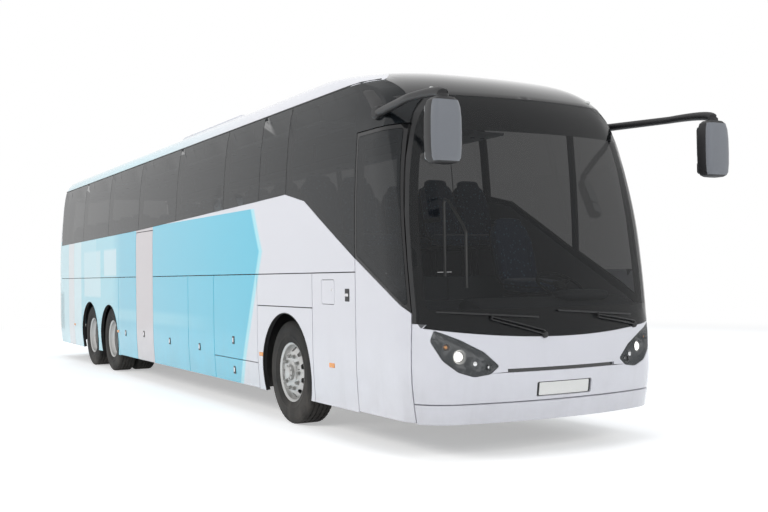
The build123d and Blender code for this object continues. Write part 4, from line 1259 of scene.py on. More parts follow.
def screen_light():
    """Edge of the clear part of the windscreen inside its black border."""
    top, low = 2.66, 1.16
    ring = []
    steps = 14
    for k in range(steps + 1):
        z = low + (top - low) * k / steps
        ring.append((from_side(lean(z) - 0.045, z, 1) - 0.085, z))
    ring = [(u, z + 0.05 * (u / 1.2) ** 2) for u, z in ring]
    return soften([(-u, z) for u, z in ring][::-1] + ring, 0.05)


LAMP = ((-1.136, 1.047), (-1.163, 0.961), (-1.092, 0.805), (-0.981, 0.712), (-0.846, 0.669), (-0.711, 0.688),
        (-0.631, 0.750), (-0.759, 0.866), (-0.942, 0.963))
LAMP_SHARP = (0.015, 0.06, 0.12, 0.12, 0.12, 0.06, 0.02, 0.12, 0.12)


def lamp_curve():
    """The teardrop edge of the right headlamp, counted from its upper outer tip round below."""
    return soften(list(LAMP), list(LAMP_SHARP), 5)


def lamp_halves():
    """The lower outer and the upper inner part of the headlamp edge."""
    curve = lamp_curve()
    outer = max(range(len(curve)), key=lambda i: curve[i][1])
    inner = min(range(len(curve)), key=lambda i: abs(curve[i][0] + 0.706) + abs(curve[i][1] - BUMPER_TOP))
    lower = [curve[(outer + k) % len(curve)] for k in range((inner - outer) % len(curve) + 1)]
    upper = [curve[(inner + k) % len(curve)] for k in range((outer - inner) % len(curve) + 1)]
    return lower, upper


class COACH_OT_front_end(bpy.types.Operator):
    """Front bumper with its lip and plate recess, and the mask between the headlamps"""

    bl_idname = "coach.front_end"
    bl_label = "Front end"

    def execute(self, context):
        trim = context.scene.coach_trim
        lower, upper = lamp_halves()
        shape = Shape()
        lip_top = 0.452
        edge_right = DOOR_FRONT - GAP
        edge_left = DOOR_FRONT - 0.0005
        top = 1.098

        def corner(side, edge):
            points = [(from_side(edge, z, side), z) for z in (lip_top + 0.005, 0.6, 0.75, 0.9, 1.0, top)]
            inward = []
            for s in (0.355, 0.28):
                inward.append((from_side(s, top - 0.004 * (s < 0.3), side), top - 0.004 * (s < 0.3)))
            for y in (1.195, 1.17, 1.148):
                z = screen_foot(y) - 0.002
                inward.append((from_front(side * y, z), z))
            lamp = [(from_front(side * abs(y), z), z) for y, z in lower]
            return points + inward + lamp

        right = corner(-1, edge_right)
        left = corner(1, edge_left)
        middle = [(from_front(-0.60, BUMPER_TOP), BUMPER_TOP), (from_front(0.60, BUMPER_TOP), BUMPER_TOP)]
        outline = right + middle + left[::-1]
        count = 40
        foot = []
        for k in range(1, count):
            u0, u1 = left[0][0], right[0][0]
            foot.append((u0 + (u1 - u0) * k / count, lip_top + 0.005))
        plate = rect(-0.285, 0.485, 0.285, 0.605)
        recess = soften(plate, 0.015)
        panel(shape, [outline + foot, recess], skin, depth=NOSE_DEPTH, lip=trim.edge, grid=(0.10, 0.06))
        lip = []
        for k in range(count + 1):
            z = SKIRT
            u0, u1 = from_side(edge_right, z, -1), from_side(edge_left, z, 1)
            lip.append((u0 + (u1 - u0) * k / count, z))
        for k in range(count + 1):
            z = lip_top - 0.004
            u0, u1 = from_side(edge_left, z, 1), from_side(edge_right, z, -1)
            lip.append((u0 + (u1 - u0) * k / count, z))
        panel(shape, [lip], skin, depth=NOSE_DEPTH, lip=0.010, grid=(0.10, 0.05), proud=0.006)
        inner = [(y * 0.995, 0.545 + (z - 0.545) * 0.97) for y, z in recess]
        panel(shape, [inner], skin, proud=-0.016, depth=0.012, lip=0.002, grid=(0.10, 0.05), paint=1)
        backing = [(u * 0.998, z + (0.004 if z < 0.4 else -0.004)) for u, z in lip[: count + 1]]
        backing += [(u * 0.998, BUMPER_TOP - 0.01) for u, z in lip[count + 1:] if abs(u) < 0.70]
        panel(shape, [backing], skin, proud=-0.030, depth=0.012, lip=0.001, grid=(0.15, 0.08), paint=1)
        blank = rect(-0.26, 0.492, 0.26, 0.598)
        panel(shape, [soften(blank, 0.01)], skin, proud=-0.008, depth=0.004, lip=0.0015, grid=(0.1, 0.05),
              paint=2)
        shape.make("front_bumper", "pearl black white_lens", nodes=("front_bumper",),
                   slot="body_paint")
        mask = Shape()
        slot_top = BUMPER_TOP + 0.030
        tab = 0.560
        ring = [(y, slot_top) for y in (-tab, 0, tab)]
        ring += [(tab, BUMPER_TOP + 0.006)] + [(-y, z) for y, z in upper]
        ring += [(y, screen_foot(y) - 0.004) for y in (1.148, 1.0, 0.8, 0.6, 0.4, 0.2, 0, -0.2, -0.4, -0.6,
                                                       -0.8, -1.0, -1.148)]
        ring += upper[::-1] + [(-tab, BUMPER_TOP + 0.006)]
        turned = [(from_front(y, z), z) for y, z in divide(ring, 0.05)]
        panel(mask, [turned], skin, depth=NOSE_DEPTH, lip=trim.edge, grid=(0.10, 0.05))
        shade = [(y, z) for y, z in ((-0.70, 0.67), (0.70, 0.67), (0.70, 0.74), (-0.70, 0.74))]
        end_panel(mask, [shade], NOSE, proud=-0.022, depth=0.01, lip=0.001, grid=(0.1, 0.05), paint=1)
        mask.make("front_mask", "pearl gloss", nodes=("front_mask",), slot="body_paint")
        return {"FINISHED"}


def lamp_cup(shape, y, z, radius, depth, shell, lens):
    """A round lamp in its housing: bowl, ring and glass."""
    centre = spot_front(y, z, -depth)
    ahead = (spot_front(y, z, 0.0) - centre).normalized()
    ahead = (ahead + Vector((0.6, 0, 0))).normalized()
    bowl = [(radius * 0.25, 0.0), (radius * 0.7, 0.014), (radius * 0.98, 0.045), (radius * 1.10, 0.047),
            (radius * 1.14, 0.030),
            (radius * 1.12, 0.0), (radius * 0.9, -0.02), (radius * 0.2, -0.03)]
    lathe(shape, bowl, centre, ahead, 36, shell)
    glass_face = capped(0.030, 0.006, (radius * 0.4, 0.028), (radius * 0.62, 0.018), (radius * 0.66, 0.006))
    lathe(shape, glass_face, centre, ahead, 32, lens)


class COACH_OT_headlamps(bpy.types.Operator):
    """Teardrop headlamps, upper marker lamps and the rear lamps"""

    bl_idname = "coach.headlamps"
    bl_label = "Lamps"

    def execute(self, context):
        curve = lamp_curve()
        middle = (sum(y for y, z in curve) / len(curve), sum(z for y, z in curve) / len(curve))
        shape, covers = Shape(), Shape()
        for side in (-1, 1):
            ring = [(-side * y, z) for y, z in curve]
            ring = drawn_in(ring if area(ring) > 0 else ring[::-1], 0.004)
            rings = []
            for sink, shrink in ((0.004, 1.0), (0.012, 0.985), (0.045, 0.93), (0.085, 0.84), (0.098, 0.70),
                                 (0.100, 0.4)):
                my, mz = -side * middle[0], middle[1]
                rings.append([spot_front(my + (y - my) * shrink, mz + (z - mz) * shrink, -sink)
                              for y, z in ring])
            size = len(ring)
            faces = band_faces(len(rings) - 1, size)
            faces.append(tuple((len(rings) - 1) * size + k for k in range(size)))
            shape.add([v for r in rings for v in r], faces, 0)
            lamp_cup(shape, side * 0.960, 0.836, 0.058, 0.070, 0, 2)
            lamp_cup(shape, side * 0.830, 0.776, 0.044, 0.062, 0, 1)
            lamp_cup(shape, side * 0.724, 0.746, 0.024, 0.040, 0, 1)
            lamp_cup(shape, side * 1.068, 0.915, 0.030, 0.055, 0, 3)
            end_panel(covers, [ring], NOSE, depth=0.004, lip=0.0015, grid=(0.06, 0.05), proud=-0.001,
                      backed=False)
            face = spot_front(side * 0.84, 3.07, 0.004)
            block(shape, face - Vector((0.02, 0.035, 0.012)), face + Vector((0.006, 0.035, 0.012)), 0.006, 4)
        for side in (-1, 1):
            low_y, high_y = sorted((side * 0.963, side * 1.172))
            tail = rect(low_y, 0.903, high_y, 1.897)
            end_panel(shape, [soften(tail, 0.05)], TAIL, depth=NOSE_DEPTH, lip=0.004, grid=(0.08, 0.08),
                      proud=-0.006, paint=0)
            for centre_z, kind in ((1.78, 5), (1.56, 3), (1.34, 5), (1.12, 4), (0.98, 5)):
                y = side * 1.068
                centre = spot_front(y, centre_z, -0.010, TAIL)
                radius = 0.088 if centre_z > 1.2 else 0.060
                lens = capped(0.022, 0.0, (radius * 0.6, 0.020), (radius * 0.92, 0.012), (radius, 0.0))
                lathe(shape, lens, centre, (-1, side * 0.12, 0.05), 36, kind)
        shape.make("lamp_units", "gloss chrome lit amber white_lens red",
                   nodes=("lamp_units",), slot="lamp_lens")
        covers.make("lamp_covers", "lens", slot="lamp_lens")
        return {"FINISHED"}


GUTTER = ROOF_SEAM + 0.006


def dome_edge(z):
    """Run of the side edge of the black front dome at a height, on the left."""
    if z <= ROOF_SEAM:
        return max(from_side(lean(z), z, 1), from_front(DOME_REACH, z))
    return from_front(DOME_REACH - 0.31 * (z - ROOF_SEAM) / (DOME_TOP - ROOF_SEAM), z)


def dome_side(low, high, steps):
    """Points up the left edge of the dome."""
    levels = [low + (high - low) * k / steps for k in range(steps + 1)]
    return [(dome_edge(z), z) for z in levels]


def roof_join(z):
    """Distance from the nose at which the round rear corner of the roof begins at a height."""
    return min(REAR_SEAM, NOSE_X - plan(round(z, 5))[2][3] - 0.002)


def mirror_run(points):
    return [(-u, z) for u, z in points]


class COACH_OT_roof(bpy.types.Operator):
    """Roof shell with its black front dome and two hatches"""

    bl_idname = "coach.roof"
    bl_label = "Roof shell"

    def execute(self, context):
        shape = Shape()
        rise = dome_side(DOME_SEAM + 0.0005, DOME_TOP, 22)
        across = []
        count = 30
        for k in range(1, count):
            across.append((rise[-1][0] * (1 - 2 * k / count), DOME_TOP))
        foot = [(u, DOME_SEAM + 0.0005) for u in (-0.9, -0.45, 0, 0.45, 0.9)]
        panel(shape, [foot + rise + across + mirror_run(rise)[::-1]], skin, depth=NOSE_DEPTH, lip=0.003,
              grid=(0.10, 0.035), paint=1,
              back_paint=2)
        low = ROOF_SEAM + 0.0003
        rise = [(u + 0.001, z) for u, z in dome_side(low, DOME_TOP + 0.0015, 14)]
        levels = [low + (ROOF_Z - low) * k / 14 for k in range(15)]
        rear = [(from_side(roof_join(z), z, 1), z) for z in levels]
        top = [(rear[-1][0] * (1 - 2 * k / 120), ROOF_Z) for k in range(1, 120)]
        across = [(rise[-1][0] * (1 - 2 * k / count), DOME_TOP + 0.0015) for k in range(1, count)]
        ring = mirror_run(rise) + [(-u, z) for u, z in across] + rise[::-1]
        ring = [(-rear[0][0], low)] + ring + rear + top + mirror_run(rear)[::-1][:-1]
        panel(shape, [ring], skin, depth=ROOF_DEPTH, lip=0.0008, grid=(0.10, 0.020), paint=0, back_paint=2)
        right = [(from_side(roof_join(z), z, -1, TAIL), z) for z in levels]
        left = [(from_side(roof_join(z), z, 1, TAIL), z) for z in levels]
        run = left[0][0]
        foot = [(run * (-1 + 2 * k / 24), low) for k in range(1, 24)]
        head = [(left[-1][0] * (1 - 2 * k / 24), ROOF_Z) for k in range(1, 24)]
        panel(shape, [[right[0]] + foot + left + head + right[::-1][:-1]], tail_skin, depth=ROOF_DEPTH,
              lip=0.0008, grid=(0.15, 0.025),
              flip=True, paint=0, back_paint=2)
        edge = []
        for end, low_u, high_u in ((NOSE, -rear[-1][0], rear[-1][0]), (TAIL, left[-1][0], right[-1][0])):
            for k in range(90 if end == NOSE else 30):
                u = low_u + (high_u - low_u) * k / (90 if end == NOSE else 30)
                p = skin(u, ROOF_Z, end)
                edge.append((p.x, p.y))

        def crown(x, y):
            return Vector((x, y, ROOF_Z + 0.022 * max(0.0, 1 - (y / 0.845) ** 2)))

        panel(shape, [edge], crown, depth=ROOF_DEPTH, lip=0.0005, grid=(0.35, 0.12), paint=0, back_paint=2)
        def hatch_top(x, y):
            return Vector((x, y, ROOF_Z + 0.044 + 0.004 * (1 - (y / HATCH_HALF) ** 2)))

        for s in HATCHES:
            x = NOSE_X - s
            lid = soften(rect(x - HATCH_HALF, -HATCH_HALF, x + HATCH_HALF, HATCH_HALF), 0.07, 5)
            panel(shape, [lid], hatch_top, depth=ROOF_DEPTH, lip=0.02, grid=(0.1, 0.1), paint=3)
            inner = soften(rect(x - 0.26, -0.26, x + 0.26, 0.26), 0.05, 5)
            panel(shape, [inner], lambda a, b: Vector((a, b, ROOF_Z + 0.054)), depth=0.012, lip=0.008,
                  grid=(0.1, 0.1), paint=4)
        shape.make("roof_shell", "livery gloss lining white_lens tinted",
                   nodes=("roof_shell",), slot="body_paint", sharp=40)
        gutters = Shape()
        for side in (-1, 1):
            path = []
            start = NOSE_X - skin(dome_edge(GUTTER), GUTTER).x + 0.03
            for k in range(61):
                s = start + (REAR_SEAM - start) * k / 60
                path.append(spot(s, GUTTER, side, 0.001))
            pipe(gutters, path, (0.004, 0.009), sides=8, up=(0, 0, 1))
        gutters.make("roof_gutters", "rubber")
        return {"FINISHED"}


class COACH_OT_conditioner(bpy.types.Operator):
    """Roof air conditioner with its grilles and fans"""

    bl_idname = "coach.conditioner"
    bl_label = "Roof air conditioner"

    def execute(self, context):
        shape = Shape()
        base, top, half = ROOF_Z + 0.0005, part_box("roof_conditioner")[1].z, 0.64
        line = [(5.055, base + 0.02), (5.47, top - 0.022), (5.60, top), (7.88, top), (7.975, top - 0.012),
                (8.245, base + 0.02)]

        def cover(x, y):
            s = NOSE_X - x
            z = line_at(line, s)
            fall = max(0.0, (abs(y) - 0.52) / 0.12)
            return Vector((x, y, base + (z - base) * (1 - 0.16 * fall**2.2)))

        x0, x1 = NOSE_X - 8.245, NOSE_X - 5.055
        outline = rect(x0, -half, x1, half)
        holes = [circle(NOSE_X - 5.98 - 0.47 * k, 0.0, 0.170, 40) for k in range(4)]
        nose_slots = []
        for row in range(3):
            s = 5.20 + 0.095 * row
            nose_slots.append(rect(NOSE_X - s - 0.05, -0.46, NOSE_X - s, 0.46))
        panel(shape, [outline] + holes + [soften(r, 0.02, 3) for r in nose_slots], cover, depth=0.025,
              lip=0.006, grid=(0.10, 0.06))
        for side in (-1, 1):
            wall = [(s, z - (0.026 if z > base + 0.03 else 0)) for s, z in line]
            wall = [(5.055, base)] + wall + [(8.245, base)]
            grille = rect(5.95, base + 0.035, 7.70, base + 0.105)

            def upright(a, b):
                return Vector((NOSE_X - a, side * (half - 0.001), b))

            panel(shape, [wall, soften(grille, 0.02, 3)], upright, depth=0.02, lip=0.003, grid=(0.2, 0.08),
                  flip=side > 0)
            for k in range(4):
                z = base + 0.043 + 0.018 * k
                block(shape, (NOSE_X - 7.70, side * (half - 0.012) - 0.008, z - 0.003),
                      (NOSE_X - 5.95, side * (half - 0.012) + 0.008, z + 0.003), 0.001, 1)
        block(shape, (x0 + 0.06, -half + 0.03, base + 0.01), (x1 - 0.55, half - 0.03, base + 0.115), 0.01, 1)
        for k in range(4):
            centre = Vector((NOSE_X - 5.98 - 0.47 * k, 0, top - 0.022))
            lathe(shape, capped(-0.004, -0.010, (0.172, -0.004), (0.172, -0.010)), centre, (0, 0, 1), 40, 1)
            lathe(shape, capped(0.026, 0.0, (0.042, 0.024), (0.052, 0.016), (0.054, 0.0)), centre, (0, 0, 1),
                  32, 1)
            for r in (0.075, 0.098, 0.121, 0.144, 0.166):
                lathe(shape, rect(r - 0.002, 0.019, r + 0.002, 0.023), centre, (0, 0, 1), 40, 1)
            for a in range(6):
                turn = Matrix.Translation(centre) @ Matrix.Rotation(a * math.pi / 3, 4, "Z")
                block(shape, (0.045, -0.004, 0.012), (0.175, 0.004, 0.022), 0.001, 1, turn)
        shape.make("roof_conditioner", "pearl black", nodes=("roof_conditioner",), slot="cover_plastic")
        return {"FINISHED"}


REAR_WINDOW = [(-1.010, 2.260), (1.010, 2.260), (0.930, 3.130), (-0.930, 3.130)]


class COACH_OT_rear_end(bpy.types.Operator):
    """Rear panel with its window, louvred engine lid and bumper"""

    bl_idname = "coach.rear_end"
    bl_label = "Rear end"

    def execute(self, context):
        trim = context.scene.coach_trim
        shape = Shape()
        split = 0.560
        levels = [split + 0.002 + (ROOF_SEAM - 0.001 - split) * k / 24 for k in range(25)]
        left = [(from_side(REAR_SEAM + 0.002, z, 1, TAIL), z) for z in levels]
        right = [(-u, z) for u, z in left]
        lid_half, lid_low, lid_high = 0.888, 0.592, 1.628

        def wide(ring):
            return [(from_front(y, z, TAIL), z) for y, z in divide(ring, 0.08)]

        lid_hole = soften(rect(-lid_half, lid_low, lid_half, lid_high), 0.02, 3)
        seat = [(y * 1.004, z + (0.003 if z > 3 else -0.003)) for y, z in REAR_WINDOW]
        holes = [wide(lid_hole), wide(soften(seat, 0.08, 5))]
        for side in (-1, 1):
            low_y, high_y = sorted((side * 0.960, side * 1.175))
            holes.append(wide(soften(rect(low_y, 0.900, high_y, 1.900), 0.052)))
        panel(shape, [right + left[::-1]] + holes, tail_skin, depth=BODY_DEPTH, lip=trim.edge,
              grid=(0.14, 0.09), flip=True, back_paint=1)
        shape.make("rear_panel", "livery lining", nodes=("rear_panel",), slot="body_paint")
        pane = Shape()
        end_panel(pane, [soften(REAR_WINDOW, 0.08, 5)], TAIL, depth=0.010, lip=0.002, grid=(0.12, 0.08),
                  backed=False)
        pane.make("rear_window", "tinted", nodes=("rear_window",), slot="tinted_glass")
        lid = Shape()
        ring = rect(-0.880, 0.600, 0.880, 1.620)
        slots = []
        for row in range(8):
            z = 1.120 + 0.052 * row
            for side in (-1, 1):
                low_y, high_y = sorted((side * 0.060, side * 0.760))
                slots.append(soften(rect(low_y, z, high_y, z + 0.016), 0.007, 3))
        end_panel(lid, [soften(ring, 0.018, 3)] + slots, TAIL, depth=0.030, lip=trim.edge, grid=(0.10, 0.06))
        for row in range(8):
            z = 1.120 + 0.052 * row
            for side in (-1, 1):
                path = [spot_front(side * y, z + 0.010, -0.012, TAIL) for y in (0.07, 0.25, 0.5, 0.75)]
                pipe(lid, path, (0.012, 0.003), sides=8, up=(0, 0, 1), paint=1)
        for y in (-0.60, 0.60):
            p = spot_front(y, 1.60, -0.055, TAIL)
            block(lid, p - Vector((0.010, 0.04, 0.03)), p + Vector((0.016, 0.04, 0.0265)), 0.004, 1)
        grip = spot_front(0.0, 0.700, 0.0, TAIL)
        block(lid, grip - Vector((0.006, 0.09, 0.022)), grip + Vector((0.004, 0.09, 0.022)), 0.012, 1)
        end_panel(lid, [soften(rect(-0.27, 0.775, 0.27, 0.900), 0.012)], TAIL, proud=0.005, depth=0.006,
                  lip=0.002, grid=(0.1, 0.06), paint=2)
        lid.make("engine_lid", "livery black white_lens", body="engine_lid", nodes=("engine_lid",),
                 slot="body_paint")
        bumper = Shape()
        levels = [SKIRT + (split - 0.002 - SKIRT) * k / 5 for k in range(6)]
        left = [(from_side(REAR_SEAM + 0.002, z, 1, TAIL), z) for z in levels]
        low = [(left[0][0] * (-1 + 2 * k / 30), SKIRT) for k in range(1, 30)]
        high = [(left[-1][0] * (1 - 2 * k / 30), split - 0.002) for k in range(1, 30)]
        panel(bumper, [mirror_run(left)[:1] + low + left + high + mirror_run(left)[::-1][:-1]], tail_skin,
              depth=BODY_DEPTH, lip=0.012,
              grid=(0.14, 0.06), flip=True, back_paint=1)
        for side in (-1, 1):
            centre = spot_front(side * 0.82, 0.43, 0.001, TAIL)
            lathe(bumper, capped(0.008, 0.0, (0.035, 0.006), (0.042, 0.0)), centre, (-1, side * 0.05, 0), 28, 2)
        bumper.make("rear_bumper", "livery black red", nodes=("rear_bumper",), slot="body_paint")
        return {"FINISHED"}


class COACH_OT_mirrors(bpy.types.Operator):
    """Two outside mirrors hanging from arms at the upper corners"""

    bl_idname = "coach.mirrors"
    bl_label = "Outside mirrors"

    def execute(self, context):
        head_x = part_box("mirrors")[1].x - 0.085
        head_y = 1.390
        shape = Shape()
        for side in (-1, 1):
            half = Shape()
            root = Vector((NOSE_X - 0.965, side * 1.20, 2.885))
            bend = Vector((NOSE_X - 0.16, side * 1.385, 2.872))
            tip = Vector((head_x, side * head_y, 2.815))
            foot = Vector((head_x - 0.005, side * head_y, 2.740))
            path, sizes = [], []
            for k in range(15):
                t = k / 14
                path.append(root.lerp(bend, t))
                sizes.append((0.046 - 0.010 * t, 0.036 - 0.004 * t))
            for k in range(1, 13):
                t = k / 12
                p = bend * (1 - t) ** 2 + Vector((head_x - 0.01, side * head_y,
                                                  2.864)) * 2 * t * (1 - t) + tip * t**2
                path.append(p)
                sizes.append((0.036 + 0.012 * t, 0.032 + 0.010 * t))
            path.append(foot)
            sizes.append((0.060, 0.048))
            pipe(half, path, sizes, sides=18, up=(0, 0, 1), paint=0)
            lathe(half, capped(-0.020, 0.034, (0.062, -0.020), (0.058, 0.018), (0.044, 0.034)),
                  spot(0.965, 2.885, side, -0.004), (0.08, side, 0.12), 28, 0)
            rings = []
            levels = [(2.301, 0.30), (2.306, 0.62), (2.320, 0.82), (2.345, 0.93), (2.42, 0.985), (2.52, 1.0),
                      (2.64, 0.985), (2.72, 0.93),
                      (2.768, 0.82), (2.790, 0.62), (2.799, 0.30)]
            count = 36
            for z, size in levels:
                ring = []
                for k in range(count):
                    a = share(k, count)
                    ca, sa = math.cos(a), math.sin(a)
                    power = 0.55 if ca > 0 else 0.28
                    x = bulge(ca, power) * 0.083 * size
                    y = bulge(sa, 0.42) * 0.133 * size
                    ring.append(Vector((head_x + x, side * head_y + y, z)))
                rings.append(ring)
            size = len(rings)
            sweep(half, list(range(size)), lambda i: rings[i], paint=0)
            covers = []
            for z, grow in levels[2:9]:
                ring = []
                for k in range(13):
                    a = -math.pi * 0.42 + math.pi * 0.84 * k / 12
                    ca, sa = math.cos(a), math.sin(a)
                    x = abs(ca) ** 0.55 * 0.0845 * grow
                    y = bulge(sa, 0.42) * 0.1345 * grow
                    ring.append(Vector((head_x + x, side * head_y + y, z)))
                covers.append(ring)
            verts = [v for ring in covers for v in ring]
            faces = []
            for i in range(len(covers) - 1):
                for k in range(12):
                    faces.append((i * 13 + k, i * 13 + k + 1, (i + 1) * 13 + k + 1, (i + 1) * 13 + k))
            half.add(verts, faces, 1)
            back = head_x - 0.0835

            def glass_plate(low_z, high_z, swell):
                ring = soften(rect(-0.108, low_z, 0.108, high_z), 0.03, 5)
                middle = (low_z + high_z) / 2

                def face(a, b):
                    sink = swell * (1 - (a / 0.12) ** 2)
                    x = back - 0.002 - sink - swell * (1 - ((b - middle) / 0.2) ** 2)
                    return Vector((x, side * head_y + a, b))

                panel(half, [ring], face, depth=0.004, lip=0.002, grid=(0.03, 0.04), paint=2, flip=True)

            glass_plate(2.470, 2.745, 0.0005)
            glass_plate(2.335, 2.445, 0.003)
            shape.copy_across(half, Matrix.Identity(4))
        shape.make("outside_mirrors", "black grey mirror", nodes=("mirrors",), slot="black_plastic")
        return {"FINISHED"}


class COACH_OT_wipers(bpy.types.Operator):
    """Two windscreen wipers lying along the lower edge of the screen"""

    bl_idname = "coach.wipers"
    bl_label = "Wipers"

    def execute(self, context):
        shape = Shape()
        for pivot_y, tip_y, tip_z in ((-0.20, -0.98, 1.205), (0.86, 0.08, 1.160)):
            pivot_z = screen_foot(pivot_y) + 0.010
            pivot = spot_front(pivot_y, pivot_z, 0.002)
            lathe(shape, capped(0.030, -0.004, (0.018, 0.028), (0.026, 0.018), (0.028, -0.004)), pivot,
                  (1, 0, 0.1), 24, 0)
            for rise in (0.0, 0.032):
                path = []
                for k in range(13):
                    t = k / 12
                    y = pivot_y + (tip_y - pivot_y) * 0.62 * t
                    z = pivot_z + rise + (tip_z - pivot_z - rise * 0.4) * 0.62 * t
                    path.append(spot_front(y, z, 0.020 + 0.016 * math.sin(math.pi * min(t, 0.9))))
                pipe(shape, path, (0.007, 0.005), sides=8, paint=0)
            mid_y = pivot_y + (tip_y - pivot_y) * 0.62
            mid_z = pivot_z + (tip_z - pivot_z) * 0.62 + 0.012
            blade, rubber = [], []
            for k in range(21):
                t = k / 20 - 0.5
                y = mid_y + t * 0.86 * (1 if tip_y < pivot_y else -1) * -1
                z = mid_z + 0.028 - 0.060 * t * (-1 if tip_y < pivot_y else 1)
                blade.append(spot_front(y, z, 0.016 + 0.006 * (1 - (2 * t) ** 2)))
                rubber.append(spot_front(y, z, 0.006))
            pipe(shape, blade, (0.005, 0.008), sides=8, paint=0)
            pipe(shape, rubber, (0.002, 0.006), sides=6, paint=1)
            link = [spot_front(mid_y, mid_z - 0.012, 0.026), spot_front(mid_y, mid_z + 0.034, 0.026)]
            pipe(shape, link, (0.008, 0.006), sides=8, paint=0)
        shape.make("wipers", "black rubber", slot="black_plastic")
        return {"FINISHED"}


# Wheels: label, distance from the nose, how far the disc lies outboard of the middle of the tyre, twin
WHEELS = (("front", 2.860, 0.118, False), ("drive", 10.050, -0.150, True), ("tag", 11.400, -0.110, False))
WHEEL_Y = 1.078
TWIN = 0.335
BEAD = 0.286
NUTS = 10


def tyre_shape(depth):
    """One tyre round the Y axis: ribbed tread with cut shoulders, round walls with raised rings."""
    shape = Shape()
    radius, half = AXLE_Z, 0.1255
    turns = 168
    groove = 0.006
    tread = [(-half, 0.008), (-half + 0.010, 0.001)]
    for middle in (-0.076, -0.026, 0.026, 0.076):
        tread += [(middle - groove - 0.001, 0.0), (middle - groove + 0.002, depth), (middle + groove - 0.002,
                                                                                     depth),
                  (middle + groove + 0.001, 0.0)]
    tread += [(half - 0.010, 0.001), (half, 0.008)]
    wall = [(0.500, 0.1330), (0.488, 0.1370), (0.486, 0.1400), (0.478, 0.1410), (0.476, 0.1395),
            (0.455, 0.1450), (0.430, 0.1472),
            (0.400, 0.1474), (0.372, 0.1450), (0.370, 0.1462), (0.362, 0.1450), (0.360, 0.1432),
            (0.335, 0.1370), (0.316, 0.1290),
            (0.303, 0.1215), (0.292, 0.1150), (BEAD + 0.001, 0.1080)]
    outer = [(radius - drop, w) for w, drop in tread]
    profile = [(r, -w) for r, w in reversed(wall)] + outer + list(wall)
    profile += [(BEAD + 0.001, 0.085), (0.330, 0.110), (0.490, 0.105), (0.490, -0.105), (0.330, -0.110),
                (BEAD + 0.001, -0.085)]
    size = len(profile)
    verts, faces = [], []
    first = len(wall)
    for k in range(turns):
        angle = share(k, turns)
        notch = k % 3 == 0
        for i, (r, w) in enumerate(profile):
            shoulder = first <= i < first + len(outer) and abs(w) > 0.095
            edge = i in (first - 1, first + len(outer))
            if notch and (shoulder or edge):
                r -= 0.009 if shoulder else 0.005
            sipe = first <= i < first + len(outer) and abs(w) < 0.09 and abs(r - radius) < 1e-6
            if sipe and k % 4 == 1:
                r -= 0.005
            verts.append(Vector((r * math.cos(angle), w, r * math.sin(angle))))
    for k in range(turns):
        n = (k + 1) % turns
        for i in range(size):
            j = (i + 1) % size
            faces.append((k * size + i, n * size + i, n * size + j, k * size + j))
    return shape.add(verts, faces, 0)


def rim_shape(dish):
    """One rim round the Y axis, its outer side towards +Y: barrel and disc with hand holes."""
    shape = Shape()
    edge = 0.125
    barrel = [(0.300, edge), (0.3005, edge - 0.006), (0.296, edge - 0.010), (0.287, edge - 0.014),
              (BEAD, edge - 0.020), (0.280, 0.064),
              (0.262, 0.044), (0.262, -0.044), (0.280, -0.064), (BEAD, -edge + 0.020), (0.287, -edge + 0.014),
              (0.296, -edge + 0.010), (0.3005, -edge + 0.006), (0.300, -edge), (0.292, -edge + 0.002),
              (0.278, -edge + 0.014),
              (0.270, -0.066), (0.250, -0.044), (0.250, 0.044), (0.270, 0.066), (0.278, edge - 0.014),
              (0.292, edge - 0.002)]
    lathe(shape, barrel, (0, 0, 0), (0, 1, 0), 96)
    weld = math.copysign(0.070, dish)
    line = [(0.090, dish), (0.195, dish), (0.212, dish - 0.003 * math.copysign(1, dish)),
            (0.232, dish + (weld - dish) * 0.42),
            (0.252, dish + (weld - dish) * 0.80), (0.2755, weld)]

    def disc(a, b):
        r = math.hypot(a, b)
        r = min(max(r, 0.090), 0.2755)
        for (r0, w0), (r1, w1) in zip(line, line[1:]):
            if r <= r1:
                t = (r - r0) / (r1 - r0)
                t = t * t * (3 - 2 * t)
                return Vector((a, w0 + (w1 - w0) * t, b))
        return Vector((a, weld, b))

    holes = []
    for k in range(10):
        angle = share(k + 0.5, 10)
        centre = (0.234 * math.cos(angle), 0.234 * math.sin(angle))
        ring = []
        for j in range(20):
            turn = share(j, 20)
            across, along = 0.0235 * math.cos(turn), 0.030 * math.sin(turn)
            ring.append((centre[0] + across * math.cos(angle) - along * math.sin(angle),
                         centre[1] + across * math.sin(angle) + along * math.cos(angle)))
        holes.append(ring)
    panel(shape, [circle(0, 0, 0.2753, 80), circle(0, 0, 0.092, 48)] + holes, disc, depth=0.012, lip=0.003,
          grid=(0.035, 0.035),
          flip=True)
    return shape


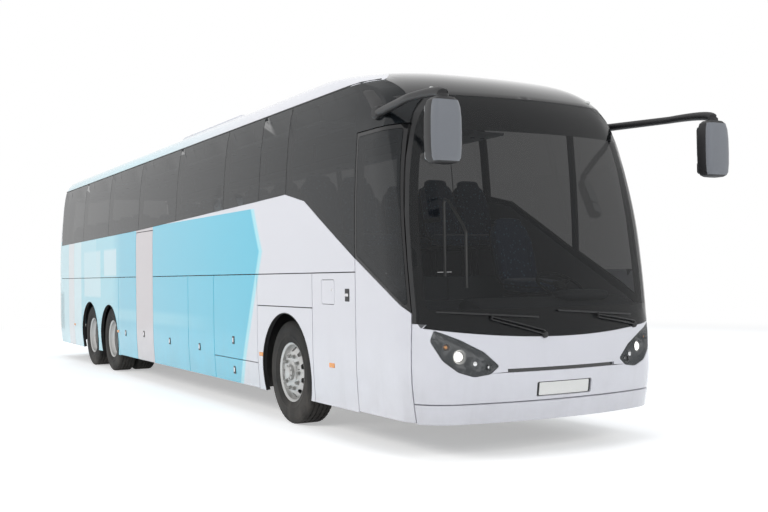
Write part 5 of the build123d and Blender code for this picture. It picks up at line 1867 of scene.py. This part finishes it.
def wheel_fittings(dish, front):
    """Hub, cap, nuts and valve of one wheel round the Y axis, the outer side towards +Y."""
    shape = Shape()
    if front:
        hub = capped(dish + 0.062, dish + 0.010, (0.050, dish + 0.062), (0.058, dish + 0.058),
                     (0.064, dish + 0.046), (0.078, dish + 0.042), (0.080, dish + 0.012),
                     (0.090, dish + 0.006), (0.112, dish + 0.004), (0.112, dish - 0.110),
                     (0.046, dish - 0.110), (0.046, dish + 0.010))
    else:
        hub = capped(dish + 0.098, dish + 0.010, (0.040, dish + 0.098), (0.052, dish + 0.092),
                     (0.058, dish + 0.074), (0.074, dish + 0.070), (0.078, dish + 0.064),
                     (0.078, dish + 0.014), (0.092, dish + 0.006), (0.112, dish + 0.004),
                     (0.112, dish - 0.110), (0.046, dish - 0.110), (0.046, dish + 0.010))
    lathe(shape, hub, (0, 0, 0), (0, 1, 0), 48, 0)
    for k in range(8):
        angle = share(k + 0.5, 8)
        centre = Vector((0.068 * math.cos(angle), dish + (0.042 if front else 0.066), 0.068 * math.sin(angle)))
        lathe(shape, capped(0.010, 0.0, (0.007, 0.010), (0.009, 0.004), (0.009, 0.0)), centre, (0, 1, 0), 6, 1)
    for k in range(NUTS):
        angle = share(k, NUTS)
        centre = Vector((0.1675 * math.cos(angle), dish, 0.1675 * math.sin(angle)))
        lathe(shape, capped(0.005, 0.0, (0.022, 0.005), (0.023, 0.0)), centre, (0, 1, 0), 20, 1)
        lathe(shape, capped(0.030, 0.005, (0.013, 0.030), (0.0175, 0.026), (0.0175, 0.005)), centre, (0, 1, 0),
              6, 1)
        lathe(shape, capped(0.040, 0.028, (0.009, 0.040), (0.011, 0.036), (0.011, 0.028)), centre, (0, 1, 0),
              12, 1)
    stem = [Vector((0.20, dish + 0.01, 0.04)), Vector((0.205, dish + 0.030, 0.041)),
            Vector((0.225, dish + 0.045, 0.045))]
    pipe(shape, stem, 0.004, sides=8, paint=1)
    return shape


class COACH_OT_wheels(bpy.types.Operator):
    """Tyres with tread, rims, hubs and nuts of the six wheels"""

    bl_idname = "coach.wheels"
    bl_label = "Wheels"

    def execute(self, context):
        tyre = tyre_shape(context.scene.coach_trim.tread_depth)
        for label, s, dish, twin in WHEELS:
            rim, fittings = rim_shape(dish), wheel_fittings(dish, label == "front")
            mount = WHEEL_Y + dish
            inner_dish = mount - 0.014 - (WHEEL_Y - TWIN)
            inner = rim_shape(inner_dish) if twin else None
            for side, word in ((-1, "right"), (1, "left")):
                turn = Matrix.Diagonal((1, side, 1, 1))
                place = Matrix.Translation((NOSE_X - s, side * WHEEL_Y, AXLE_Z)) @ turn
                tyres = Shape().copy_across(tyre, place)
                rims = Shape().copy_across(rim, place)
                rims.copy_across(fittings, place)
                if twin:
                    other = Matrix.Translation((NOSE_X - s, side * (WHEEL_Y - TWIN), AXLE_Z)) @ turn
                    tyres.copy_across(tyre, other)
                    rims.copy_across(inner, other)
                body = f"wheel_{label}_{word}"
                tyres.make(f"tyre_{label}_{word}", "tyre", body=body, nodes=(f"tyre_{label}_{word}",),
                           slot="tyre_rubber",
                           sharp=40)
                rims.make(f"rim_{label}_{word}", "rim nut", body=body, nodes=(f"rim_{label}_{word}",),
                          slot="wheel_steel", sharp=35)
        return {"FINISHED"}


def pillow(shape, centre, half, power=0.34, crown=0.0, across=16, around=28, matrix=None, paint=0):
    """A soft rounded cushion form: a closed superellipsoid with crowned faces."""
    centre, half = Vector(centre), Vector(half)
    verts = []

    for i in range(1, across):
        lat = -math.pi / 2 + math.pi * i / across
        for k in range(around):
            lon = share(k, around)
            x = bulge(math.cos(lat), power) * bulge(math.cos(lon), power)
            y = bulge(math.cos(lat), power) * bulge(math.sin(lon), power)
            z = bulge(math.sin(lat), power)
            swell = 1 + crown * (1 - x * x) * (1 - y * y)
            verts.append(Vector((x * half.x, y * half.y, z * half.z * swell)))
    bottom, top = len(verts), len(verts) + 1
    verts += [Vector((0, 0, -half.z * (1 + crown))), Vector((0, 0, half.z * (1 + crown)))]
    faces = band_faces(across - 2, around)
    for k in range(around):
        n = (k + 1) % around
        faces.append((bottom, n, k))
        faces.append((top, (across - 2) * around + k, (across - 2) * around + n))
    place = Matrix.Translation(centre) if matrix is None else matrix @ Matrix.Translation(centre)
    return shape.add([place @ v for v in verts], faces, paint)


def seam_ring(shape, centre, half, power=0.34, radius=0.004, matrix=None, paint=1, count=40):
    """Piping round the middle of a pillow."""
    centre, half = Vector(centre), Vector(half)
    place = Matrix.Translation(centre) if matrix is None else matrix @ Matrix.Translation(centre)
    path = []
    for k in range(count):
        lon = share(k, count)
        x = bulge(math.cos(lon), power) * half.x
        y = bulge(math.sin(lon), power) * half.y
        path.append(place @ Vector((x, y, 0)))
    return pipe(shape, path, radius, sides=6, closed=True, paint=paint, up=(0, 0, 1))


def seat_forms(soft, hard, front, base, y, width, detail=True):
    """One seat: cushion, leaning back and headrest, with its frame."""
    x = NOSE_X - front
    half = width / 2
    around = 24 if detail else 20
    across = 12 if detail else 10
    cushion = Matrix.Translation((x - 0.24, y, base + 0.385)) @ Matrix.Rotation(math.radians(4), 4, "Y")
    pillow(soft, (0, 0, 0), (0.235, half - 0.012, 0.062), 0.36, 0.10, across, around, cushion)
    seam_ring(soft, (0, 0, 0), (0.236, half - 0.011, 0.06), 0.36, 0.004, cushion, count=28)
    lean_by = Matrix.Rotation(math.radians(-15.5), 4, "Y")
    back = Matrix.Translation((x - 0.545, y, base + 0.70)) @ lean_by
    pillow(soft, (0, 0, 0), (0.055, half - 0.014, 0.315), 0.40, 0.0, across, around, back)
    for way in (-1, 1):
        pillow(soft, (0.022, way * (half - 0.055), -0.04), (0.050, 0.040, 0.245), 0.55, 0.0, 8, 12, back)
    head = Matrix.Translation((x - 0.628, y, base + 0.985)) @ lean_by
    pillow(soft, (0.012, 0, 0), (0.042, half - 0.075, 0.070), 0.5, 0.0, 8, 18, head, paint=0)
    shell = Matrix.Translation((x - 0.592, y, base + 0.68)) @ lean_by
    pillow(hard, (0, 0, 0), (0.022, half - 0.020, 0.300), 0.3, 0.0, 8, 16, shell)


class COACH_OT_seats(bpy.types.Operator):
    """Passenger seats in pairs and the driver's seat"""

    bl_idname = "coach.seats"
    bl_label = "Seats"

    def execute(self, context):
        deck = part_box("passenger_deck")[1].z - 0.005
        soft, hard = Shape(), Shape()
        for row in range(SEAT_ROWS):
            front = SEAT_FRONT + SEAT_PITCH * row
            for side in (-1, 1):
                if side < 0 and front < 8.400 and front + 0.700 > 7.520:
                    continue
                for y in (0.497, 0.923):
                    seat_forms(soft, hard, front, deck, side * y, 0.424, detail=False)
                x = NOSE_X - front
                low_y, high_y = sorted((side * 0.31, side * 1.11))
                block(hard, (x - 0.50, low_y, deck + 0.290), (x - 0.03, high_y, deck + 0.325), 0.012, 1)
                for y in (0.67, 0.75):
                    block(hard, (x - 0.38, side * y - 0.014, deck + 0.0055), (x - 0.20, side * y + 0.014,
                                                                              deck + 0.300), 0.008, 1)
                for y in (0.290, 1.128):
                    pillow(hard, (x - 0.36, side * y, deck + 0.600), (0.17, 0.014 if y < 1 else 0.010, 0.024),
                           0.5, 0, 8, 16)
        soft.make("seat_cushions", "cloth black", nodes=("passenger_seats",), slot="seat_fabric", sharp=50)
        hard.make("seat_frames", "dash frame", slot="black_plastic", sharp=50)
        soft, hard = Shape(), Shape()
        base = 0.990
        seat_forms(soft, hard, 1.050, base, 0.660, 0.470)
        x = NOSE_X - 1.050
        block(hard, (x - 0.42, 0.545, 0.9005), (x - 0.08, 0.775, 1.040), 0.02, 1)
        for k in range(5):
            grow = 0.006 if k % 2 else -0.006
            low_z = 1.040 + 0.044 * k
            block(hard, (x - 0.40 - grow, 0.56 - grow, low_z), (x - 0.10 + grow, 0.76 + grow, low_z + 0.044),
                  0.012, 0)
        block(hard, (x - 0.45, 0.44, 1.262), (x - 0.03, 0.88, 1.300), 0.012, 1)
        soft.make("driver_cushions", "cloth black", nodes=("driver_seat",), slot="seat_fabric", sharp=50)
        hard.make("driver_seat_base", "dash frame", slot="black_plastic", sharp=50)
        return {"FINISHED"}


class COACH_OT_cab(bpy.types.Operator):
    """Dashboard with its instrument hood, and the steering wheel"""

    bl_idname = "coach.cab"
    bl_label = "Cab"

    def execute(self, context):
        shape = Shape()
        line = [(0.205, 1.078), (0.335, 1.187), (0.50, 1.245), (0.615, 1.284), (0.70, 1.272), (0.752, 1.236),
                (0.757, 1.15),
                (0.755, 0.935), (0.505, 0.934), (0.502, 1.076)]
        line = soften(line, 0.025, 3)
        stations = []
        count = 48
        left_y, right_y = 1.15, -0.555
        for k in range(count + 1):
            stations.append(right_y + (left_y - right_y) * k / count)

        def ring(i):
            y = stations[i]
            edge = min(abs(y - left_y), abs(y - right_y))
            inset = 0.012 * max(0.0, 1 - edge / 0.02)
            points = []
            for s, z in line:
                limit = NOSE_X - skin(from_front(min(abs(y), 1.12), z), z).x + 0.132
                s = max(s, limit)
                z = z - inset if z > 1.0 else z + inset
                points.append(Vector((NOSE_X - s, y, z)))
            return points

        sweep(shape, stations, ring, paint=0)
        hood = Matrix.Translation((NOSE_X - 0.56, 0.64, 1.290))
        pillow(shape, (0, 0, 0), (0.13, 0.27, 0.045), 0.5, 0.2, 12, 28, hood, 0)
        facia = soften(rect(0.42, 1.262, 0.86, 1.318), 0.02)
        panel(shape, [facia], lambda a, b: Vector((NOSE_X - 0.664 - (b - 1.26) * 0.25, a, b)), depth=0.006,
              lip=0.003, grid=(0.08, 0.05),
              flip=True, paint=2)
        screen = soften(rect(0.12, 1.13, 0.34, 1.225), 0.012)
        panel(shape, [screen], lambda a, b: Vector((NOSE_X - 0.762 + (b - 1.15) * 0.05, a, b)), depth=0.006,
              lip=0.002,
              grid=(0.08, 0.05), flip=True, paint=2)
        block(shape, (NOSE_X - 0.788, 0.065, 0.902), (NOSE_X - 0.702, 1.148, 1.10), 0.012, 1)
        shape.make("dashboard", "dash black gloss", nodes=("dashboard",), slot="black_plastic", sharp=45)
        wheel = Shape()
        tilt = Matrix.Translation((NOSE_X - 0.840, 0.640, 1.370)) @ Matrix.Rotation(math.radians(32), 4, "Y")
        path = [tilt @ Vector((0.225 * math.cos(a), 0.225 * math.sin(a), 0))
                for a in [share(k, 48) for k in range(48)]]
        pipe(wheel, path, 0.0155, sides=12, closed=True, up=(0.5, 0, 0.85))
        pillow(wheel, (0, 0, 0.004), (0.072, 0.060, 0.020), 0.6, 0.1, 10, 24, tilt)
        for a in (0, 120, 240):
            turn = tilt @ Matrix.Rotation(math.radians(a), 4, "Z")
            block(wheel, (0.045, -0.017, -0.007), (0.218, 0.017, 0.007), 0.005, 0, turn)
        lathe(wheel, capped(-0.235, -0.012, (0.027, -0.235), (0.027, -0.04), (0.045, -0.012)),
              tilt @ Vector((0, 0, 0)),
              tilt.to_3x3() @ Vector((0, 0, 1)), 28, 0)
        wheel.make("steering_wheel", "black", nodes=("steering_wheel",), slot="black_plastic", sharp=45)
        return {"FINISHED"}


class COACH_OT_interior(bpy.types.Operator):
    """Luggage racks, floor finishes, grab poles and step edges of the passenger room"""

    bl_idname = "coach.interior"
    bl_label = "Interior"

    def execute(self, context):
        shape = Shape()
        for side in (-1, 1):
            line = [(0.702, 2.992), (0.706, 3.092), (0.716, 3.100), (0.730, 3.092), (0.734, 3.020),
                    (1.091, 3.020), (1.095, 3.008),
                    (1.091, 2.992), (0.90, 2.986)]

            def ring(i):
                x = NOSE_X - (2.305 + (13.295 - 2.305) * i / 60)
                points = [Vector((x, side * y, z)) for y, z in line]
                return points if side > 0 else points[::-1]

            sweep(shape, list(range(61)), ring, paint=0)
            for k in range(6):
                s = 2.900 + 1.800 * k
                low_y, high_y = sorted((side * 0.802, side * 0.828))
                block(shape, (NOSE_X - s - 0.038, low_y, 3.012), (NOSE_X - s - 0.002, high_y, 3.3995), 0.006, 1)
            for row in range(SEAT_ROWS):
                s = 2.55 + SEAT_PITCH * row
                for y in (0.85, 0.98):
                    centre = Vector((NOSE_X - s, side * y, 2.9875))
                    lathe(shape, capped(-0.007, 0.0, (0.020, -0.006), (0.026, 0.0)), centre, (0, 0, 1), 16, 1)
        shape.make("luggage_racks", "rack frame", nodes=("luggage_racks",), slot="rack_plastic")
        for name, finish in (
            ("passenger_deck", "floor"), ("driver_platform", "floor"), ("entry_stairs", "floor"),
            ("middle_stairs", "floor"),
            ("underframe", "frame"), ("wheel_housings", "frame"), ("front_axle", "frame"),
            ("drive_axle", "frame"),
            ("tag_axle", "frame"), ("knuckle_left", "frame"), ("knuckle_right", "frame"),
            ("engine_block", "iron"),
        ):
            keep_node(name, finish)
        poles = Shape()
        rail = [(NOSE_X - 1.50, 0.035, 1.36), (NOSE_X - 1.50, 0.035, 1.90), (NOSE_X - 1.56, 0.035, 1.98),
                (NOSE_X - 1.80, 0.035, 2.22)]
        rail += [(NOSE_X - 1.86, 0.035, 2.24), (NOSE_X - 1.88, 0.035, 2.20), (NOSE_X - 1.88, 0.035, 1.475)]
        pipe(poles, rail, 0.016, sides=12, up=(0, 1, 0))
        edges = Shape()
        floor_z, rise = 0.345, (1.470 - 0.345) / 5
        for k in range(1, 5):
            z = floor_z + rise * k
            x = NOSE_X - (0.420 + 0.290 * k)
            block(edges, (x - 0.035, -1.055, z + 0.0003), (x + 0.002, 0.055, z + 0.005), 0.002)
        edges.make("step_edges", "steel", slot="floor_covering")
        poles.make("grab_rail", "steel", slot="chassis_paint")
        return {"FINISHED"}


class COACH_OT_stage(bpy.types.Operator):
    """Plain floor, soft light and the camera of the photograph"""

    bl_idname = "coach.stage"
    bl_label = "Stage"

    def execute(self, context):
        scene = context.scene
        scene.view_settings.view_transform = "Standard"
        world = bpy.data.worlds.new("Pale room")
        scene.world = world
        world.use_nodes = True
        g = Graph(world.node_tree)
        world.node_tree.nodes.clear()
        rays = g.node("ShaderNodeLightPath").outputs
        seen = g.math("MAXIMUM", rays["Is Camera Ray"], g.math("MAXIMUM", rays["Is Glossy Ray"],
                                                               rays["Is Transmission Ray"]))
        light, white = g.node("ShaderNodeBackground"), g.node("ShaderNodeBackground")
        g.fill(light, Color=(0.86, 0.93, 1.0, 1), Strength=ROOM_LIGHT)
        g.fill(white, Color=(1, 1, 1, 1), Strength=1.0)
        room = g.blend(seen, light.outputs[0], white.outputs[0])
        g.feed(g.node("ShaderNodeOutputWorld").inputs["Surface"], room)

        finish = bpy.data.materials.new("Pale floor")
        finish.use_nodes = True
        finish.node_tree.nodes.clear()
        g = Graph(finish.node_tree)
        rays = g.node("ShaderNodeLightPath").outputs
        plain, bright, near = (g.node(kind) for kind in ("ShaderNodeBsdfDiffuse", "ShaderNodeEmission",
                                                         "ShaderNodeAddShader"))
        g.fill(plain, Color=(0.80, 0.80, 0.80, 1))
        g.fill(bright, Strength=0.42)
        g.feed(near.inputs[0], plain.outputs[0])
        g.feed(near.inputs[1], bright.outputs[0])
        away = g.node("ShaderNodeVectorMath", operation="LENGTH")
        g.feed(away.inputs[0], g.node("ShaderNodeTexCoord").outputs["Object"])
        white = g.node("ShaderNodeEmission").outputs[0]
        lifted = g.blend(g.ramp(away.outputs["Value"], *FADE), near.outputs[0], white)
        seen = g.math("MAXIMUM", rays["Is Camera Ray"], rays["Is Glossy Ray"])
        g.feed(g.node("ShaderNodeOutputMaterial").inputs["Surface"], g.blend(seen, plain.outputs[0], lifted))
        mesh = bpy.data.meshes.new("floor")
        reach = 90.0
        mesh.from_pydata([(-reach, -reach, 0), (reach, -reach, 0), (reach, reach, 0), (-reach, reach, 0)], [],
                         [(0, 1, 2, 3)])
        mesh.materials.append(finish)
        floor = bpy.data.objects.new("floor", mesh)
        scene.collection.objects.link(floor)

        for name, place, aim, width, height, power, tint in (
            ("key_panel", (4.0, -14.0, 9.0), (1.0, 0, 1.4), 14.0, 5.0, 1350.0, (1.0, 0.98, 0.95)),
            ("nose_panel", (17.0, 2.0, 6.5), (6.0, 0, 1.4), 7.0, 5.0, 620.0, (1.0, 0.99, 0.97)),
            ("top_panel", (0.0, 0.0, 13.0), (0, 0, 0), 18.0, 7.0, 560.0, (0.94, 0.97, 1.0)),
            ("back_panel", (-3.0, 13.0, 7.5), (0, 0, 1.5), 14.0, 5.0, 700.0, (0.96, 0.98, 1.0)),
            ("tail_panel", (-17.0, -2.0, 6.5), (-6.0, 0, 1.4), 7.0, 5.0, 420.0, (0.96, 0.98, 1.0)),
        ):
            lamp = bpy.data.lights.new(name, "AREA")
            lamp.shape = "RECTANGLE"
            lamp.size, lamp.size_y, lamp.energy, lamp.color = width, height, power, tint
            holder = bpy.data.objects.new(name, lamp)
            holder.location = place
            holder.visible_glossy = False
            holder.rotation_euler = (Vector(aim) - Vector(place)).to_track_quat("-Z", "Y").to_euler()
            scene.collection.objects.link(holder)

        eye = bpy.data.cameras.new("camera")
        eye.sensor_width = 36.0
        eye.lens = scene.coach_trim.camera_lens
        eye.clip_end = 400.0
        camera = bpy.data.objects.new("camera", eye)
        yaw, pitch, roll = (math.radians(value) for value in (VIEW_YAW, VIEW_PITCH, VIEW_ROLL))
        ahead = Vector((math.cos(pitch) * math.cos(yaw), math.cos(pitch) * math.sin(yaw), math.sin(pitch)))
        right = ahead.cross(Vector((0, 0, 1))).normalized()
        up = right.cross(ahead)
        turned_right = right * math.cos(roll) + up * math.sin(roll)
        turned_up = up * math.cos(roll) - right * math.sin(roll)
        camera.matrix_world = Matrix((
            (turned_right.x, turned_up.x, -ahead.x, NOSE_X + VIEW_AHEAD),
            (turned_right.y, turned_up.y, -ahead.y, VIEW_SIDE),
            (turned_right.z, turned_up.z, -ahead.z, VIEW_HEIGHT),
            (0, 0, 0, 1),
        ))
        scene.collection.objects.link(camera)
        scene.camera = camera
        return {"FINISHED"}


PIECES = (
    COACH_OT_side_walls, COACH_OT_luggage_flaps, COACH_OT_doors, COACH_OT_glazing, COACH_OT_front_end,
    COACH_OT_headlamps,
    COACH_OT_roof, COACH_OT_conditioner, COACH_OT_rear_end, COACH_OT_mirrors, COACH_OT_wipers, COACH_OT_wheels,
    COACH_OT_seats, COACH_OT_cab, COACH_OT_interior, COACH_OT_stage,
)


class COACH_PT_panel(bpy.types.Panel):
    """Lists the pieces of the coach and their settings"""

    bl_idname = "COACH_PT_panel"
    bl_label = "Coach"
    bl_space_type = "VIEW_3D"
    bl_region_type = "UI"
    bl_category = "Coach"

    def draw(self, context):
        layout = self.layout
        for settings in (context.scene.coach_colours, context.scene.coach_trim):
            box = layout.box()
            for name in settings.__annotations__:
                box.prop(settings, name)
        for piece in PIECES:
            layout.operator(piece.bl_idname)


CLASSES = (CoachColours, CoachTrim) + PIECES + (COACH_PT_panel,)


def register():
    for item in CLASSES:
        bpy.utils.register_class(item)
    bpy.types.Scene.coach_colours = PointerProperty(type=CoachColours)
    bpy.types.Scene.coach_trim = PointerProperty(type=CoachTrim)


def unregister():
    del bpy.types.Scene.coach_trim
    del bpy.types.Scene.coach_colours
    for item in reversed(CLASSES):
        bpy.utils.unregister_class(item)


def main():
    register()
    make_finishes()
    for piece in PIECES:
        group_name, step = piece.bl_idname.split(".")
        getattr(getattr(bpy.ops, group_name), step)()


if __name__ == "__main__":
    main()
